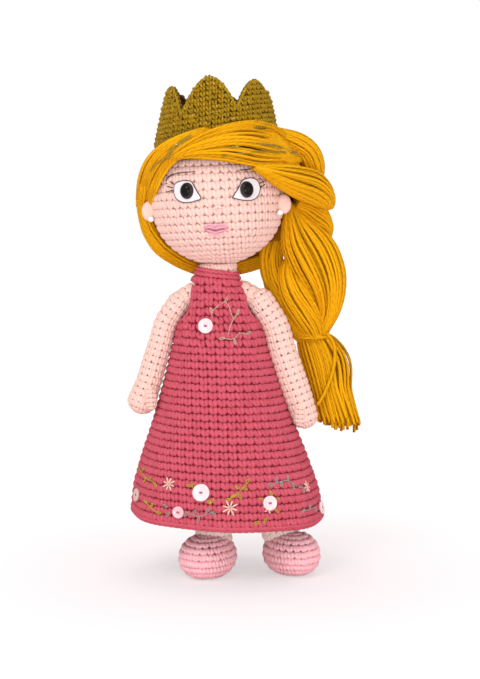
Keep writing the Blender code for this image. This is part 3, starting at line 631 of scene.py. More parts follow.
class Skein:
    """Strands of yarn laid as closed tubes and gathered into one mesh."""

    def __init__(self, sides: int, rings: int, seed: int) -> None:
        """Makes one tube as the pattern of all.

        Args:
            sides: The number of faces round a strand.
            rings: The number of points along it.
            seed: What the strands' shades are drawn from.
        """
        shape = bmesh.new()
        bmesh.ops.create_uvsphere(shape, u_segments=sides, v_segments=rings + 1, radius=1)
        shape.verts.ensure_lookup_table()
        rounds = [math.asin(max(-1, min(1, vertex.co.z))) / math.pi + 0.5 for vertex in shape.verts]
        self.ring = np.array([round(value * (rings + 1)) - 1 for value in rounds])
        self.pole = np.where(self.ring < 0, -1, np.where(self.ring >= rings, 1, 0))
        self.ring = np.clip(self.ring, 0, rings - 1)
        flat = np.array([(vertex.co.x, vertex.co.y) for vertex in shape.verts])
        self.flat = np.where(self.pole[:, None] == 0, unit(flat), 0)
        self.corners = [[vertex.index for vertex in face.verts] for face in shape.faces]
        angle = np.arctan2(self.flat[:, 1], self.flat[:, 0]) / FULL_TURN
        self.around = np.concatenate([self._round(angle, corners) for corners in self.corners])
        shape.free()
        self.rings = rings
        self.chance = np.random.default_rng(seed)
        self.points: list[Points] = []
        self.along: list[Points] = []
        self.shades: list[Points] = []

    def _round(self, angle: Points, corners: list[int]) -> Points:
        """The shares round the strand at one face's corners, without a jump at the seam."""
        found = angle[corners] % 1
        poles = self.pole[corners] != 0
        sides = found[~poles]
        if sides.max() - sides.min() > 0.5:
            found = np.where(found < 0.5, found + 1, found)
            sides = found[~poles]
        return np.where(poles, sides.mean(), found)

    def lay(self, route: Points, out: Points, half: Any, deep: Any, blunt: float = 0.55) -> None:
        """Lays strands.

        Args:
            route: The points of each strand, strands by rings by 3.
            out: The direction that each point's thickness is measured along.
            half: Half the strand's width, for all, for each ring or for each point.
            deep: Half its thickness, in the same way.
            blunt: How far the ends reach, as a share of the half width.
        """
        along = unit(np.gradient(route, axis=1))
        out = np.broadcast_to(out, route.shape)
        up = unit(out - (out * along).sum(-1, keepdims=True) * along)
        across = np.cross(up, along)
        count = len(route)
        half = np.broadcast_to(half, (count, self.rings))[..., None]
        deep = np.broadcast_to(deep, (count, self.rings))[..., None]
        ring, flat = self.ring, self.flat
        laid = route[:, ring] + (across * half)[:, ring] * flat[:, :1]
        laid = laid + (up * deep)[:, ring] * flat[:, 1:]
        laid = laid + (along * half)[:, ring] * (self.pole * blunt)[:, None]
        steps = np.linalg.norm(np.diff(route, axis=1), axis=-1)
        reach = np.concatenate([np.zeros((count, 1)), np.cumsum(steps, axis=1)], axis=1)
        start = self.chance.uniform(0, 5, (count, 1))
        self.points.append(laid)
        self.along.append(reach / MM + start)
        self.shades.append(self.chance.uniform(0, 1, count))

    def follow(self, skin: Skin, pixels: Sequence[Row], lift: float, half: Any, deep: Any) -> None:
        """Lays one thread over a surface.

        Args:
            skin: The surface.
            pixels: The pixels that the thread passes behind.
            lift: How far it stands off the surface.
            half: Half its width.
            deep: Half its thickness.
        """
        route, out = skin.line(pixels, lift, self.rings)
        self.lay(route[None], out[None], half, deep)

    def mesh(self, name: str) -> bpy.types.Mesh:
        """All strands as one mesh with their lengths as its UV map and their shades as an attribute."""
        points = np.concatenate(self.points)
        along = np.concatenate(self.along)
        shades = np.concatenate(self.shades)
        count, each = points.shape[:2]
        pattern = np.concatenate([np.array(corners) for corners in self.corners])
        totals = np.array([len(corners) for corners in self.corners])
        shift = np.arange(count)[:, None] * each
        mesh = bpy.data.meshes.new(name)
        mesh.vertices.add(count * each)
        mesh.vertices.foreach_set("co", points.astype(np.float32).ravel())
        mesh.loops.add(count * len(pattern))
        mesh.loops.foreach_set("vertex_index", (pattern[None] + shift).astype(np.int32).ravel())
        mesh.polygons.add(count * len(totals))
        starts = np.concatenate([[0], np.cumsum(np.tile(totals, count))[:-1]])
        mesh.polygons.foreach_set("loop_start", starts.astype(np.int32))
        mesh.update(calc_edges=True)
        laid = mesh.uv_layers.new(name="UVMap")
        lengths = along[:, self.ring[pattern]]
        rounds = np.broadcast_to(self.around, lengths.shape)
        laid.data.foreach_set("uv", np.stack([lengths, rounds], -1).astype(np.float32).ravel())
        shade = mesh.attributes.new("shade", "FLOAT", "POINT")
        shade.data.foreach_set("value", np.repeat(shades, each).astype(np.float32))
        mesh.shade_smooth()
        return mesh

    def piece(self, name: str, finish: Finish, slot: str, *rest: Any) -> bpy.types.Object:
        """Adds all strands to the doll as one piece. The rest is what the function piece takes."""
        return piece(self.mesh(name), finish, slot, *rest)


def core(
    node: str, finish: Finish, shrink: float, slot: str, body: Body = Body.BODY, name: str = ""
) -> bpy.types.Object:
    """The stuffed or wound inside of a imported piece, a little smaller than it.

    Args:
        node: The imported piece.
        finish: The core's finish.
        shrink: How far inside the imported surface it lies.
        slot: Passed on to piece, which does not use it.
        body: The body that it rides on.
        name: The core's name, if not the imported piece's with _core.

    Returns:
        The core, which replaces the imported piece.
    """
    shape = bmesh.new()
    shape.from_mesh(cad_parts[node].data)
    bmesh.ops.remove_doubles(shape, verts=shape.verts, dist=1e-6)
    shape.normal_update()
    moves = [vertex.normal * -shrink for vertex in shape.verts]
    for vertex, move in zip(shape.verts, moves):
        vertex.co += move
    return piece(mesh_of(shape, name or node + "_core"), finish, slot, (node,), body)


# Forms that carry stitches


class Form:
    """A surface read by a turn about it, which is 0 at the front, and a share of the way down it."""

    small = 1e-3

    def at(self, turn: Points, share: Points) -> Points:
        """The points at turns and shares."""
        raise NotImplementedError

    def out(self, turn: Points, share: Points) -> Points:
        """The directions away from the surface."""
        share = np.clip(share, 2 * self.small, 1 - 2 * self.small)
        right = self.at(turn + self.small, share) - self.at(turn - self.small, share)
        down = self.at(turn, share + self.small) - self.at(turn, share - self.small)
        return unit(np.cross(down, right))

    def lifted(self, turn: Points, share: Points, lift: Points) -> tuple[Points, Points]:
        """Points at a height over the surface, and the directions away from it."""
        out = self.out(turn, share)
        return self.at(turn, share) + out * np.asarray(lift)[..., None], out

    def edges(self, step: float, first: float = 0.0, last: float = 1.0) -> Points:
        """The shares that part the form into rounds of about one height.

        Args:
            step: The height of a round.
            first: The share where the rounds start.
            last: The share where they end.

        Returns:
            The shares between the rounds, from the first to the last.
        """
        shares = np.linspace(first, last, 240)
        turns = np.linspace(0, FULL_TURN, 8, endpoint=False)[:, None]
        places = self.at(turns, shares[None])
        lengths = np.linalg.norm(np.diff(places, axis=1), axis=-1).mean(0)
        reach = np.concatenate([[0], np.cumsum(lengths)])
        count = max(1, round(reach[-1] / step))
        return np.interp(np.linspace(0, reach[-1], count + 1), reach, shares)

    def girth(self, share: float) -> float:
        """The length once round the form at a share."""
        turns = np.linspace(0, FULL_TURN, 73)
        places = self.at(turns, np.full_like(turns, share))
        return float(np.linalg.norm(np.diff(places, axis=0), axis=-1).sum())

    def area(self) -> float:
        """The surface's area."""
        turns, shares = np.meshgrid(np.linspace(0, FULL_TURN, 73), np.linspace(0, 1, 61))
        places = self.at(turns, shares)
        a = places[1:, :-1] - places[:-1, :-1]
        b = places[:-1, 1:] - places[:-1, :-1]
        return float(np.linalg.norm(np.cross(a, b), axis=-1).sum())


class Oval(Form):
    """An egg shape, tilted about Y, with or without full cheeks in its lower half."""

    def __init__(self, centre: Row, size: Row, tilt: float = 0.0, cheeks: float = 0.0) -> None:
        """Keeps the shape's middle, its full sizes, its tilt and how full the cheeks are."""
        self.centre = np.array(centre)
        self.half = np.array(size) / 2
        self.turned = np.array(Matrix.Rotation(tilt, 3, "Y"))
        self.cheeks = cheeks

    def at(self, turn: Points, share: Points) -> Points:
        """The points at turns and shares."""
        bend = np.asarray(share) * math.pi
        full = 1 + self.cheeks * np.where(bend > math.pi / 2, np.sin(2 * bend) ** 2, 0)
        wide = np.sin(bend) * np.sin(turn) * full
        flat = np.stack(np.broadcast_arrays(wide, -np.sin(bend) * np.cos(turn), np.cos(bend)), -1)
        return self.centre + (flat * self.half) @ self.turned.T

    def add_to(self, shape: bmesh.types.BMesh) -> None:
        """Adds the egg to a mesh."""
        for vertex in bmesh.ops.create_uvsphere(shape, u_segments=64, v_segments=48, radius=1)["verts"]:
            x, y, z = vertex.co
            x *= 1 + self.cheeks * max(0, -z) * abs(z) * (1 - z * z) * 4
            vertex.co = Vector(self.centre + self.turned @ (np.array((x, y, z)) * self.half))


class Limb(Form):
    """A stuffed form along a route of rows: x, y, z, half width and half depth. Its ends are rounded."""

    def __init__(self, route: Sequence[Row], first_cap: float = 1.0, last_cap: float = 1.0) -> None:
        """Keeps the route, from the top down, and how round its ends are."""
        self.route = np.array(route)
        length = np.linalg.norm(np.diff(self.route[:, :3], axis=0), axis=1).sum()
        self.caps = (first_cap, last_cap)
        start = self.route[0, 3] * (0.4 + first_cap)
        end = self.route[-1, 3] * (0.4 + last_cap)
        whole = start + length + end
        self.ends = (start / whole, 1 - end / whole)

    def at(self, turn: Points, share: Points) -> Points:
        """The points at turns and shares."""
        low, high = self.ends
        share = np.asarray(share, float)
        along = np.clip((share - low) / (high - low), 0, 1)
        row = smooth(self.route, along)
        ahead = unit(smooth(self.route, along + 0.01)[..., :3] - smooth(self.route, along - 0.01)[..., :3])
        across = unit(np.cross(np.array((0.0, 1.0, 0.0)), ahead))
        deep = np.cross(ahead, across)
        first = np.clip(1 - share / low, 0, 1) * math.pi / 2
        last = np.clip((share - high) / (1 - high), 0, 1) * math.pi / 2
        mean = np.sqrt(row[..., 3] * row[..., 4])
        reach = mean * (np.sin(last) * self.caps[1] - np.sin(first) * self.caps[0])
        shrink = np.cos(first) * np.cos(last)
        wide = -np.sin(turn) * row[..., 3] * shrink
        front = -np.cos(turn) * row[..., 4] * shrink
        return row[..., :3] + ahead * reach[..., None] + across * wide[..., None] + deep * front[..., None]


@dataclass(frozen=True)
class Stitch:
    """One crochet stitch: two legs that meet at its foot, under the top of the round below."""

    width: float
    height: float
    leg: float
    plump: float
    sink: float
    swell: float = 0.8 * MM
    loose: float = 0.05
    lean: float = -0.26
    drift: float = 0.06
    reach: float = 1.0


LEG_ACROSS = np.array((0.55, 0.54, 0.50, 0.36, 0.10))
LEG_UP = np.array((0.82, 0.48, 0.02, -0.44, -0.92))
LEG_LIFT = np.array((-0.8, 0.42, 0.62, 0.42, -0.8))
LEG_TAPER = np.array((0.9, 1.08, 1.12, 1.0, 0.48))


def crochet(
    skein: Skein,
    form: Form,
    stitch: Stitch,
    keep: Optional[Callable[[Points], Points]] = None,
    first: float = 0.0,
    last: float = 1.0,
    flip: float = 1.0,
) -> None:
    """Works rounds of stitches over a form.

    Args:
        skein: Where the yarn is laid.
        form: The surface.
        stitch: The stitch's sizes.
        keep: Which stitches are worked, from their middles.
        first: The share where the rounds start.
        last: The share where they end.
        flip: 1 for stitches on the outside, -1 for the inside.
    """
    edges = form.edges(stitch.height, first, last)
    drift = 0.0
    for number, (top, bottom) in enumerate(zip(edges, edges[1:])):
        middle = (top + bottom) / 2
        count = max(6, round(form.girth(middle) / stitch.width))
        drift += stitch.drift / count
        turns = (np.arange(count) + drift) * FULL_TURN / count
        places = form.at(turns, np.full(count, middle))
        if keep is not None:
            turns = turns[keep(places)]
        if not len(turns):
            continue
        jitter = skein.chance.normal(0, stitch.loose, (2, len(turns), 1))
        for side in (-1, 1):
            across = side * LEG_ACROSS + LEG_UP * stitch.lean + jitter[0] * 0.6
            up = LEG_UP * stitch.reach + jitter[1]
            turn = turns[:, None] + across * math.pi / count
            share = middle - up * (bottom - top) / 2
            lift = np.broadcast_to(LEG_LIFT * stitch.swell - stitch.sink, share.shape)
            route, out = form.lifted(turn, share, lift * flip)
            swell = 1 + jitter[0] * 0.5
            skein.lay(route, out, LEG_TAPER * stitch.leg * swell, LEG_TAPER * stitch.plump * swell)


def chain(skein: Skein, route: Points, out: Points, link: float, half: float, deep: float) -> None:
    """Works a chain of slanted links along an edge.

    Args:
        skein: Where the yarn is laid.
        route: The edge's points.
        out: The directions away from the piece.
        link: The length of a link.
        half: Half a link's width.
        deep: Half its thickness.
    """
    steps = np.linalg.norm(np.diff(route, axis=0), axis=-1)
    reach = np.concatenate([[0], np.cumsum(steps)])
    count = max(3, round(reach[-1] / link))
    middles = (np.arange(count) + 0.5) / count * reach[-1]
    spread = np.linspace(-0.85, 0.85, skein.rings) * link
    wanted = np.clip(middles[:, None] + spread, 0, reach[-1])
    read = [np.interp(wanted, reach, route[:, axis]) for axis in range(3)]
    faces = [np.interp(wanted, reach, out[:, axis]) for axis in range(3)]
    laid, up = np.stack(read, -1), unit(np.stack(faces, -1))
    along = unit(np.gradient(laid, axis=1))
    side = np.cross(along, up) * (np.linspace(-1, 1, skein.rings) * half * 0.7)[:, None]
    dip = up * ((np.linspace(-1, 1, skein.rings) ** 2) * -deep * 0.7)[:, None]
    taper = np.interp(np.linspace(-1, 1, skein.rings), (-1, -0.5, 0.5, 1), (0.6, 1, 1, 0.6))
    skein.lay(laid + side + dip, up, taper * half, taper * deep)


# The dress


class Gown(Form):
    """The dress's outside, from its collar to its hem."""

    LENGTH = 151 * MM
    COLLAR = 187 * MM
    COLLAR_HALF = 12.6 * MM
    HEM_HALF = 59.5 * MM
    TOP_X = -17.5 * MM
    HEM_X = -11.5 * MM
    TILT = math.radians(2.0)
    COLLAR_SLOPE = 0.14
    COLLAR_END = 1 / 9
    DEPTH_SHARE = 0.84
    FOLD = 0.9 * MM
    FOLDS = 7
    FLARE = (
        (0.0, 0.0), (0.05, 0.06), (0.095, 0.139), (0.207, 0.275), (0.32, 0.371), (0.42, 0.458),
        (0.51, 0.544), (0.61, 0.648), (0.74, 0.8), (0.875, 0.94), (1.0, 1.0), (1.05, 1.02),
    )

    def at(self, turn: Points, share: Points) -> Points:
        """The points at turns and shares."""
        places, flares = zip(*self.FLARE)
        flare = np.interp(share, places, flares)
        half = self.COLLAR_HALF + flare * (self.HEM_HALF - self.COLLAR_HALF)
        half = half + self.FOLD * np.clip(share, 0, 1) ** 3 * np.cos(self.FOLDS * turn)
        across = half * np.sin(turn)
        squash = 1 - (1 - self.DEPTH_SHARE) * np.minimum(1, 4 * flare)
        deep = -half * np.cos(turn) * squash
        x = self.TOP_X + share * (self.HEM_X - self.TOP_X) + across
        tilt = math.tan(self.TILT) * share + self.COLLAR_SLOPE * np.clip(1 - share / self.COLLAR_END, 0, 1)
        z = self.COLLAR - share * self.LENGTH - across * tilt
        return np.stack(np.broadcast_arrays(x, deep, z), -1)

    def frame_at(self, turn: float, share: float, lift: float) -> Matrix:
        """Where something that lies flat on the dress stands."""
        place, out = self.lifted(turn, share, lift)
        right = unit(self.at(turn + 0.01, share) - self.at(turn - 0.01, share))
        up = np.cross(out, right)
        turned = Matrix([[*row] for row in np.stack([right, up, out], 1)]).to_4x4()
        return Matrix.Translation(Vector(place)) @ turned


@dataclass
class Dress:
    """The crocheted dress with its edges, buttons and embroidery."""

    stitch: Stitch = Stitch(5.0 * MM, 4.55 * MM, 1.4 * MM, 1.0 * MM, 1.05 * MM, swell=0.95 * MM)
    coarse: Stitch = Stitch(5.4 * MM, 4.8 * MM, 1.4 * MM, 1.2 * MM, 1.0 * MM, swell=1.1 * MM, loose=0.13)
    coarse_end: float = 0.3
    holes: tuple[Row, ...] = SHOULDERS
    hole_radius: float = 13.0 * MM
    slope_extra: float = 8 * MM
    knot: tuple[Row, ...] = ((192.5, 281.0), (194.0, 278.4), (197.0, 279.6))
    gown: Gown = field(default_factory=Gown)

    def outside_holes(self, places: Points, ease: float = 0.0) -> Points:
        """Which points lie outside both armholes."""
        apart = [np.linalg.norm(places - np.array(hole), axis=-1) for hole in self.holes]
        return np.min(apart, axis=0) > self.hole_radius + ease

    def build(self) -> None:
        # The dress's core is the rose lining, darker than the rose yarn as painted shade between the stitches.
        cloth = core("dress", Finish.ROSE_LINING, 0.95 * MM, "rose_yarn", name="dress_cloth")
        skein = Skein(7, 5, seed=11)
        worked = lambda places: self.outside_holes(places, 0.9 * MM)
        crochet(skein, self.gown, self.coarse, worked, first=0.03, last=self.coarse_end)
        crochet(skein, self.gown, self.stitch, worked, first=self.coarse_end, last=0.99)
        stitches = skein.piece("dress_stitches", Finish.ROSE, "rose_yarn")
        edging = Skein(8, 7, seed=12)
        self.hem(edging)
        self.collar(edging)
        for hole in self.holes:
            self.armhole(edging, np.array(hole))
        edges = edging.piece("dress_edges", Finish.ROSE, "rose_yarn")
        buttons = Buttons(self.gown).build()
        threads = Embroidery().build()
        self.gown.girth(1.0)
        self.gown.LENGTH + self.slope_extra
        self.gown.area()

    def hem(self, skein: Skein) -> None:
        """Works the finer edge round the hem."""
        turns = np.linspace(0, FULL_TURN, 361)
        for share, lift in ((0.991, -0.6 * MM), (0.999, -1.7 * MM)):
            route, out = self.gown.lifted(turns, share, lift)
            chain(skein, route, out, 3.9 * MM, 1.0 * MM, 1.1 * MM)

    def collar(self, skein: Skein) -> None:
        """Works the band round the neck."""
        turns = np.linspace(0, FULL_TURN, 181)
        for share, lift in ((0.004, -0.5 * MM), (0.02, -0.6 * MM)):
            route, out = self.gown.lifted(turns, share, lift)
            chain(skein, route, out, 3.8 * MM, 1.2 * MM, 1.25 * MM)
        skein.follow(Skin.of_nodes("dress"), self.knot, 0.6 * MM, 1.2 * MM, 1.2 * MM)

    def armhole(self, skein: Skein, hole: Points) -> None:
        """Works the edge round one armhole."""
        side = 1 if hole[0] > self.gown.TOP_X else -1
        centre = np.array((side * math.pi / 2, 0.125))
        found = []
        for angle in np.linspace(0, FULL_TURN, 41):
            step = np.array((math.cos(angle) * 0.9, math.sin(angle) * 0.13))
            reach = np.linspace(0, 2, 200)
            line = centre + reach[:, None] * step
            line[:, 1] = np.clip(line[:, 1], 0.012, 1)
            places = self.gown.at(line[:, 0], line[:, 1])
            outside = np.linalg.norm(places - hole, axis=-1) > self.hole_radius - 0.6 * MM
            found.append(line[max(int(np.argmax(outside)), 1)])
        turns, shares = np.array(found).T
        route, out = self.gown.lifted(turns, shares, -0.9 * MM)
        chain(skein, route, out, 3.8 * MM, 1.2 * MM, 1.2 * MM)


@dataclass
class Buttons:
    """Round sewn buttons on the chest and round the hem."""

    gown: Gown
    thickness: float = 1.9 * MM
    rim: float = 0.55 * MM
    rows: tuple[tuple[str, float, float, float, Finish], ...] = (
        ("chest_button", 9.2, -17.5, 0.218, Finish.BUTTON_PALE),
        ("hem_button_1", 10.4, -14.5, 0.858, Finish.BUTTON_PALE),
        ("hem_button_2", 7.2, -29, 0.942, Finish.BUTTON_PINK),
        ("hem_button_3", 8.8, 27, 0.894, Finish.BUTTON_PALE),
        ("hem_button_4", 8.0, -69, 0.91, Finish.BUTTON_STONE),
        ("hem_button_5", 8.0, 81, 0.95, Finish.BUTTON_PALE),
        ("hem_button_6", 10.4, 128, 0.87, Finish.BUTTON_PALE),
        ("hem_button_7", 7.2, 146, 0.94, Finish.BUTTON_PINK),
        ("hem_button_8", 8.8, 186, 0.9, Finish.BUTTON_PALE),
        ("hem_button_9", 10.4, 232, 0.87, Finish.BUTTON_STONE),
    )

    def build(self) -> list[bpy.types.Object]:
        """Makes the buttons and the thread that sews them on."""
        made = []
        thread = Skein(6, 7, seed=21)
        for name, diameter, degrees, share, finish in self.rows:
            radius = diameter / 2 * MM
            stand = self.gown.frame_at(math.radians(degrees), share, 0.3 * MM)
            made.append(self.disc(name, radius, stand, finish))
            self.sew(thread, stand)
        return [*made, thread.piece("button_thread", Finish.LIP_LINE, "lip_thread")]

    def disc(self, name: str, radius: float, stand: Matrix, finish: Finish) -> bpy.types.Object:
        """One button with a rounded rim and a dished middle."""
        top, rim = self.thickness, self.rim
        dish = ((0, 1.2), (radius * 0.35, 1.15), (radius * 0.55, 0.95))
        edge = ((2.2, 0.3), (1.4, 0), (0.6, 0.12), (0.15, 0.7), (0, 1.5))
        profile = [(reach, top - drop * rim) for reach, drop in dish]
        profile += [(radius - inset * rim, top - drop * rim) for inset, drop in edge]
        profile += [(radius - 0.2 * rim, rim * 0.5), (radius - rim, 0), (0, 0)]
        return piece(turned_mesh(name + "_disc", profile, stand, 40), finish, "button_plastic", (name,))

    def sew(self, thread: Skein, stand: Matrix) -> None:
        """The stitches through a button's middle."""
        turned = np.array(stand.to_3x3())
        arc = np.linspace(-1, 1, thread.rings)
        height = self.thickness - 1.2 * self.rim + (1 - arc**2) * 0.35 * MM - 0.1 * MM
        for shift in (-0.3, 0.3):
            local = np.stack([arc * 0.9 * MM, np.full_like(arc, shift * MM), height], -1)
            route = local @ turned.T + np.array(stand.translation)
            thread.lay(route[None], turned[:, 2], 0.3 * MM, 0.28 * MM)


@dataclass
class Embroidery:
    """Sprigs, leaves and daisies stitched on the dress's front, at pixels of the picture, and round its back."""

    half: float = 0.4 * MM
    lift: float = 0.6 * MM
    leaf: float = 3.5 * MM
    vines: tuple[tuple[Finish, tuple[Row, ...]], ...] = (
        (Finish.TAUPE, ((213, 317), (211.5, 313.5), (214, 310), (218, 306), (225, 301.5))),
        (Finish.TAUPE, ((225, 302), (229, 307), (231, 314), (233, 319))),
        (Finish.TAUPE, ((237, 314), (234, 318), (230.5, 325), (229, 331), (228, 336.5))),
        (Finish.TAUPE, ((223, 338), (229, 339.5), (235, 338), (239, 333), (247, 334.5))),
        (Finish.OLIVE, ((139, 465), (142, 472), (147, 478), (155, 483))),
        (Finish.OLIVE, ((146, 501), (151, 507), (158, 512.5))),
        (Finish.OLIVE, ((226, 502), (232, 497), (239, 492), (246, 484))),
        (Finish.GREY, ((186, 511), (194, 515.5), (203, 515.5), (214, 511))),
        (Finish.GREY, ((271, 486), (279, 482), (288, 481), (296, 486))),
        (Finish.GREY, ((302, 511), (309, 509.5), (316, 506))),
    )
    leaves: tuple[tuple[Finish, tuple[Row, ...]], ...] = (
        (Finish.TAUPE, (
            (212, 313, -110), (225, 302, -60), (237, 315, -70), (225, 338, 170), (234, 339, 80), (246, 334, -20),
        )),
        (Finish.OLIVE, (
            (141, 470, 160), (143, 471, -40), (147, 478, 120), (149, 480, -30), (148, 503, 200), (151, 507, -50),
        )),
        (Finish.OLIVE, (
            (155, 483, 30), (157, 512, 10), (192, 486, 180), (194, 489, -100), (207, 500, 40), (210, 503, -50),
        )),
        (Finish.OLIVE, (
            (240, 489, -150), (242, 488, 20), (236, 495, 160), (238, 494, 60), (231, 499, 170), (246, 484, -60),
        )),
        (Finish.OLIVE, (
            (264, 500, 200), (272, 496, -110), (274, 509, 40), (266, 518, 120), (259, 522, 170), (274, 500, -10),
        )),
        (Finish.GREY, (
            (272, 485, 190), (276, 483, -80), (281, 481, 100), (287, 481, -70), (292, 484, 80), (298, 487, 10),
        )),
        (Finish.GREY, (
            (303, 488, 120), (304, 509, 150), (309, 509, -60), (314, 507, 60), (188, 512, 130), (194, 515, -70),
        )),
        (Finish.GREY, ((199, 516, 90), (206, 513, -60), (212, 512, 40), (168, 507, 200), (170, 512, 120))),
    )
    daisies: tuple[tuple[float, float, float, int], ...] = (
        (169.3, 484, 7, 8), (230, 508, 8, 8), (306, 486.7, 6, 7), (200, 494, 6, 6), (268, 508, 5.5, 6),
    )
    back_turns: tuple[float, ...] = (105, 140, 165, 205, 250)
    back_share: float = 0.86

    def build(self) -> list[bpy.types.Object]:
        """Lays all threads, one piece for each colour."""
        skin = Skin.of_nodes("dress")
        colours = (Finish.TAUPE, Finish.OLIVE, Finish.GREY, Finish.BLUSH)
        skeins = {finish: Skein(6, 9, seed=31 + number) for number, finish in enumerate(colours)}
        for finish, pixels in self.vines:
            skeins[finish].follow(skin, pixels, self.lift, self.half * 0.75, self.half * 0.75)
        for finish, rows in self.leaves:
            for u, v, degrees in rows:
                self.loop(skeins[finish], skin.seen(u, v, self.lift), math.radians(degrees), self.leaf)
        for u, v, size, petals in self.daisies:
            self.daisy(skeins[Finish.BLUSH], skin.seen(u, v, self.lift), size * 0.52 * MM, petals)
        self.round_the_back(skeins)
        return [
            skein.piece(finish.name.lower() + "_floss", finish, "rose_yarn") for finish, skein in skeins.items()
        ]

    def round_the_back(self, skeins: dict[Finish, Skein]) -> None:
        """Repeats leaves and daisies round the sides and the back of the hem."""
        gown = Gown()
        for number, degrees in enumerate(self.back_turns):
            turn = math.radians(degrees)
            place, out = gown.lifted(turn, self.back_share, self.lift)
            self.daisy(skeins[Finish.BLUSH], (Vector(place), Vector(out)), 4.0 * MM, 7)
            for step, angle in ((-0.12, 0.4), (0.13, 2.6), (0.05, 1.5), (-0.05, -1.3)):
                place, out = gown.lifted(turn + step, self.back_share + step * 0.35, self.lift)
                finish = Finish.OLIVE if number % 2 else Finish.GREY
                self.loop(skeins[finish], (Vector(place), Vector(out)), angle, self.leaf)

    def loop(self, skein: Skein, spot: tuple[Vector, Vector], angle: float, length: float) -> None:
        """A leaf made of one chained loop.

        Args:
            skein: Where the thread is laid.
            spot: The leaf's foot and the cloth's direction there.
            angle: Which way the leaf points, clockwise from the doll's left.
            length: Its length.
        """
        place, out = spot
        right = Vector((0, 0, 1)).cross(out).normalized()
        up = out.cross(right)
        ahead = right * math.cos(angle) - up * math.sin(angle)
        beside = out.cross(ahead)
        turns = np.linspace(0, FULL_TURN, skein.rings)
        along = (1 - np.cos(turns)) / 2 * length
        wide = np.sin(turns) * length * 0.16
        route = np.array(place) + along[:, None] * np.array(ahead) + wide[:, None] * np.array(beside)
        skein.lay(route[None], np.array(out), self.half * 0.8, self.half * 0.8)

    def daisy(self, skein: Skein, spot: tuple[Vector, Vector], radius: float, petals: int) -> None:
        """A flower of straight stitches that run out from its middle."""
        place, out = spot
        right = Vector((0, 0, 1)).cross(out).normalized()
        up = out.cross(right)
        taper = np.interp(np.linspace(0, 1, skein.rings), (0, 0.6, 1), (0.5, 1.0, 0.7))
        for number in range(petals):
            angle = number * FULL_TURN / petals + 0.3
            ahead = np.array(right * math.cos(angle) - up * math.sin(angle))
            reach = np.linspace(0.12, 1 + 0.15 * (number % 2), skein.rings) * radius
            route = np.array(place) + reach[:, None] * ahead
            skein.lay(route[None], np.array(out), taper * 0.62 * MM, taper * 0.5 * MM)


# The body and limbs


@dataclass
class Stuffed:
    """A stuffed crocheted form: its core and its rounds of stitches."""

    node: str
    body: Body
    form: Form
    stitch: Stitch
    finish: Finish = Finish.SKIN
    # By default the core is the skin lining, darker than the skin yarn as painted shade between the stitches.
    lining: Finish = Finish.SKIN_LINING
    slot: str = "skin_yarn"
    first: float = 0.0
    last: float = 1.0
    keep: Optional[Callable[[Points], Points]] = None
    extra: tuple[tuple[Form, Stitch], ...] = ()
    seed: int = 41
    shrink: float = 1.15 * MM

    def build(self) -> None:
        """Makes the core and the stitches that go with it."""
        inside = core(self.node, self.lining, self.shrink, self.slot, self.body)
        skein = Skein(6, 5, seed=self.seed)
        crochet(skein, self.form, self.stitch, self.keep, self.first, self.last)
        for form, stitch in self.extra:
            crochet(skein, form, stitch)
        skein.piece(self.node + "_stitches", self.finish, self.slot, (), self.body)


FINE = Stitch(4.6 * MM, 4.3 * MM, 1.36 * MM, 0.68 * MM, 0.65 * MM, swell=0.2 * MM, loose=0.04, reach=1.1)
FACE = Stitch(5.1 * MM, 4.95 * MM, 1.5 * MM, 0.75 * MM, 0.65 * MM, swell=0.22 * MM, loose=0.03, reach=1.08)
SHOE = Stitch(4.9 * MM, 4.4 * MM, 1.4 * MM, 1.0 * MM, 1.0 * MM, swell=0.85 * MM)


class Shoe(Form):
    """A rounded shoe with a fuller lower half and a flat sole."""

    LENGTH = 44 * MM
    WIDTH = 33.5 * MM
    HEIGHT = 26.7 * MM
    FULL_SHARE = 0.86

    def __init__(self, centre: Row, turn_out: float) -> None:
        """Keeps where the shoe's middle is, and how far its toe turns out."""
        self.centre = np.array(centre)
        self.turned = np.array(Matrix.Rotation(turn_out, 3, "Z"))

    def at(self, turn: Points, share: Points) -> Points:
        """The points at turns and shares."""
        bend = np.asarray(share) * math.pi
        deep = np.cos(bend)
        width = np.abs(np.sin(bend))
        below = deep < 0
        full = np.where(below, width, width**0.78)
        height = np.where(below, -(np.abs(deep) ** self.FULL_SHARE), deep)
        x = full * np.sin(turn) * self.WIDTH / 2
        y = -full * np.cos(turn) * self.LENGTH / 2
        z = np.maximum(height * self.HEIGHT / 2, 1.0 * MM - self.centre[2])
        return self.centre + np.stack(np.broadcast_arrays(x, y, z), -1) @ self.turned.T


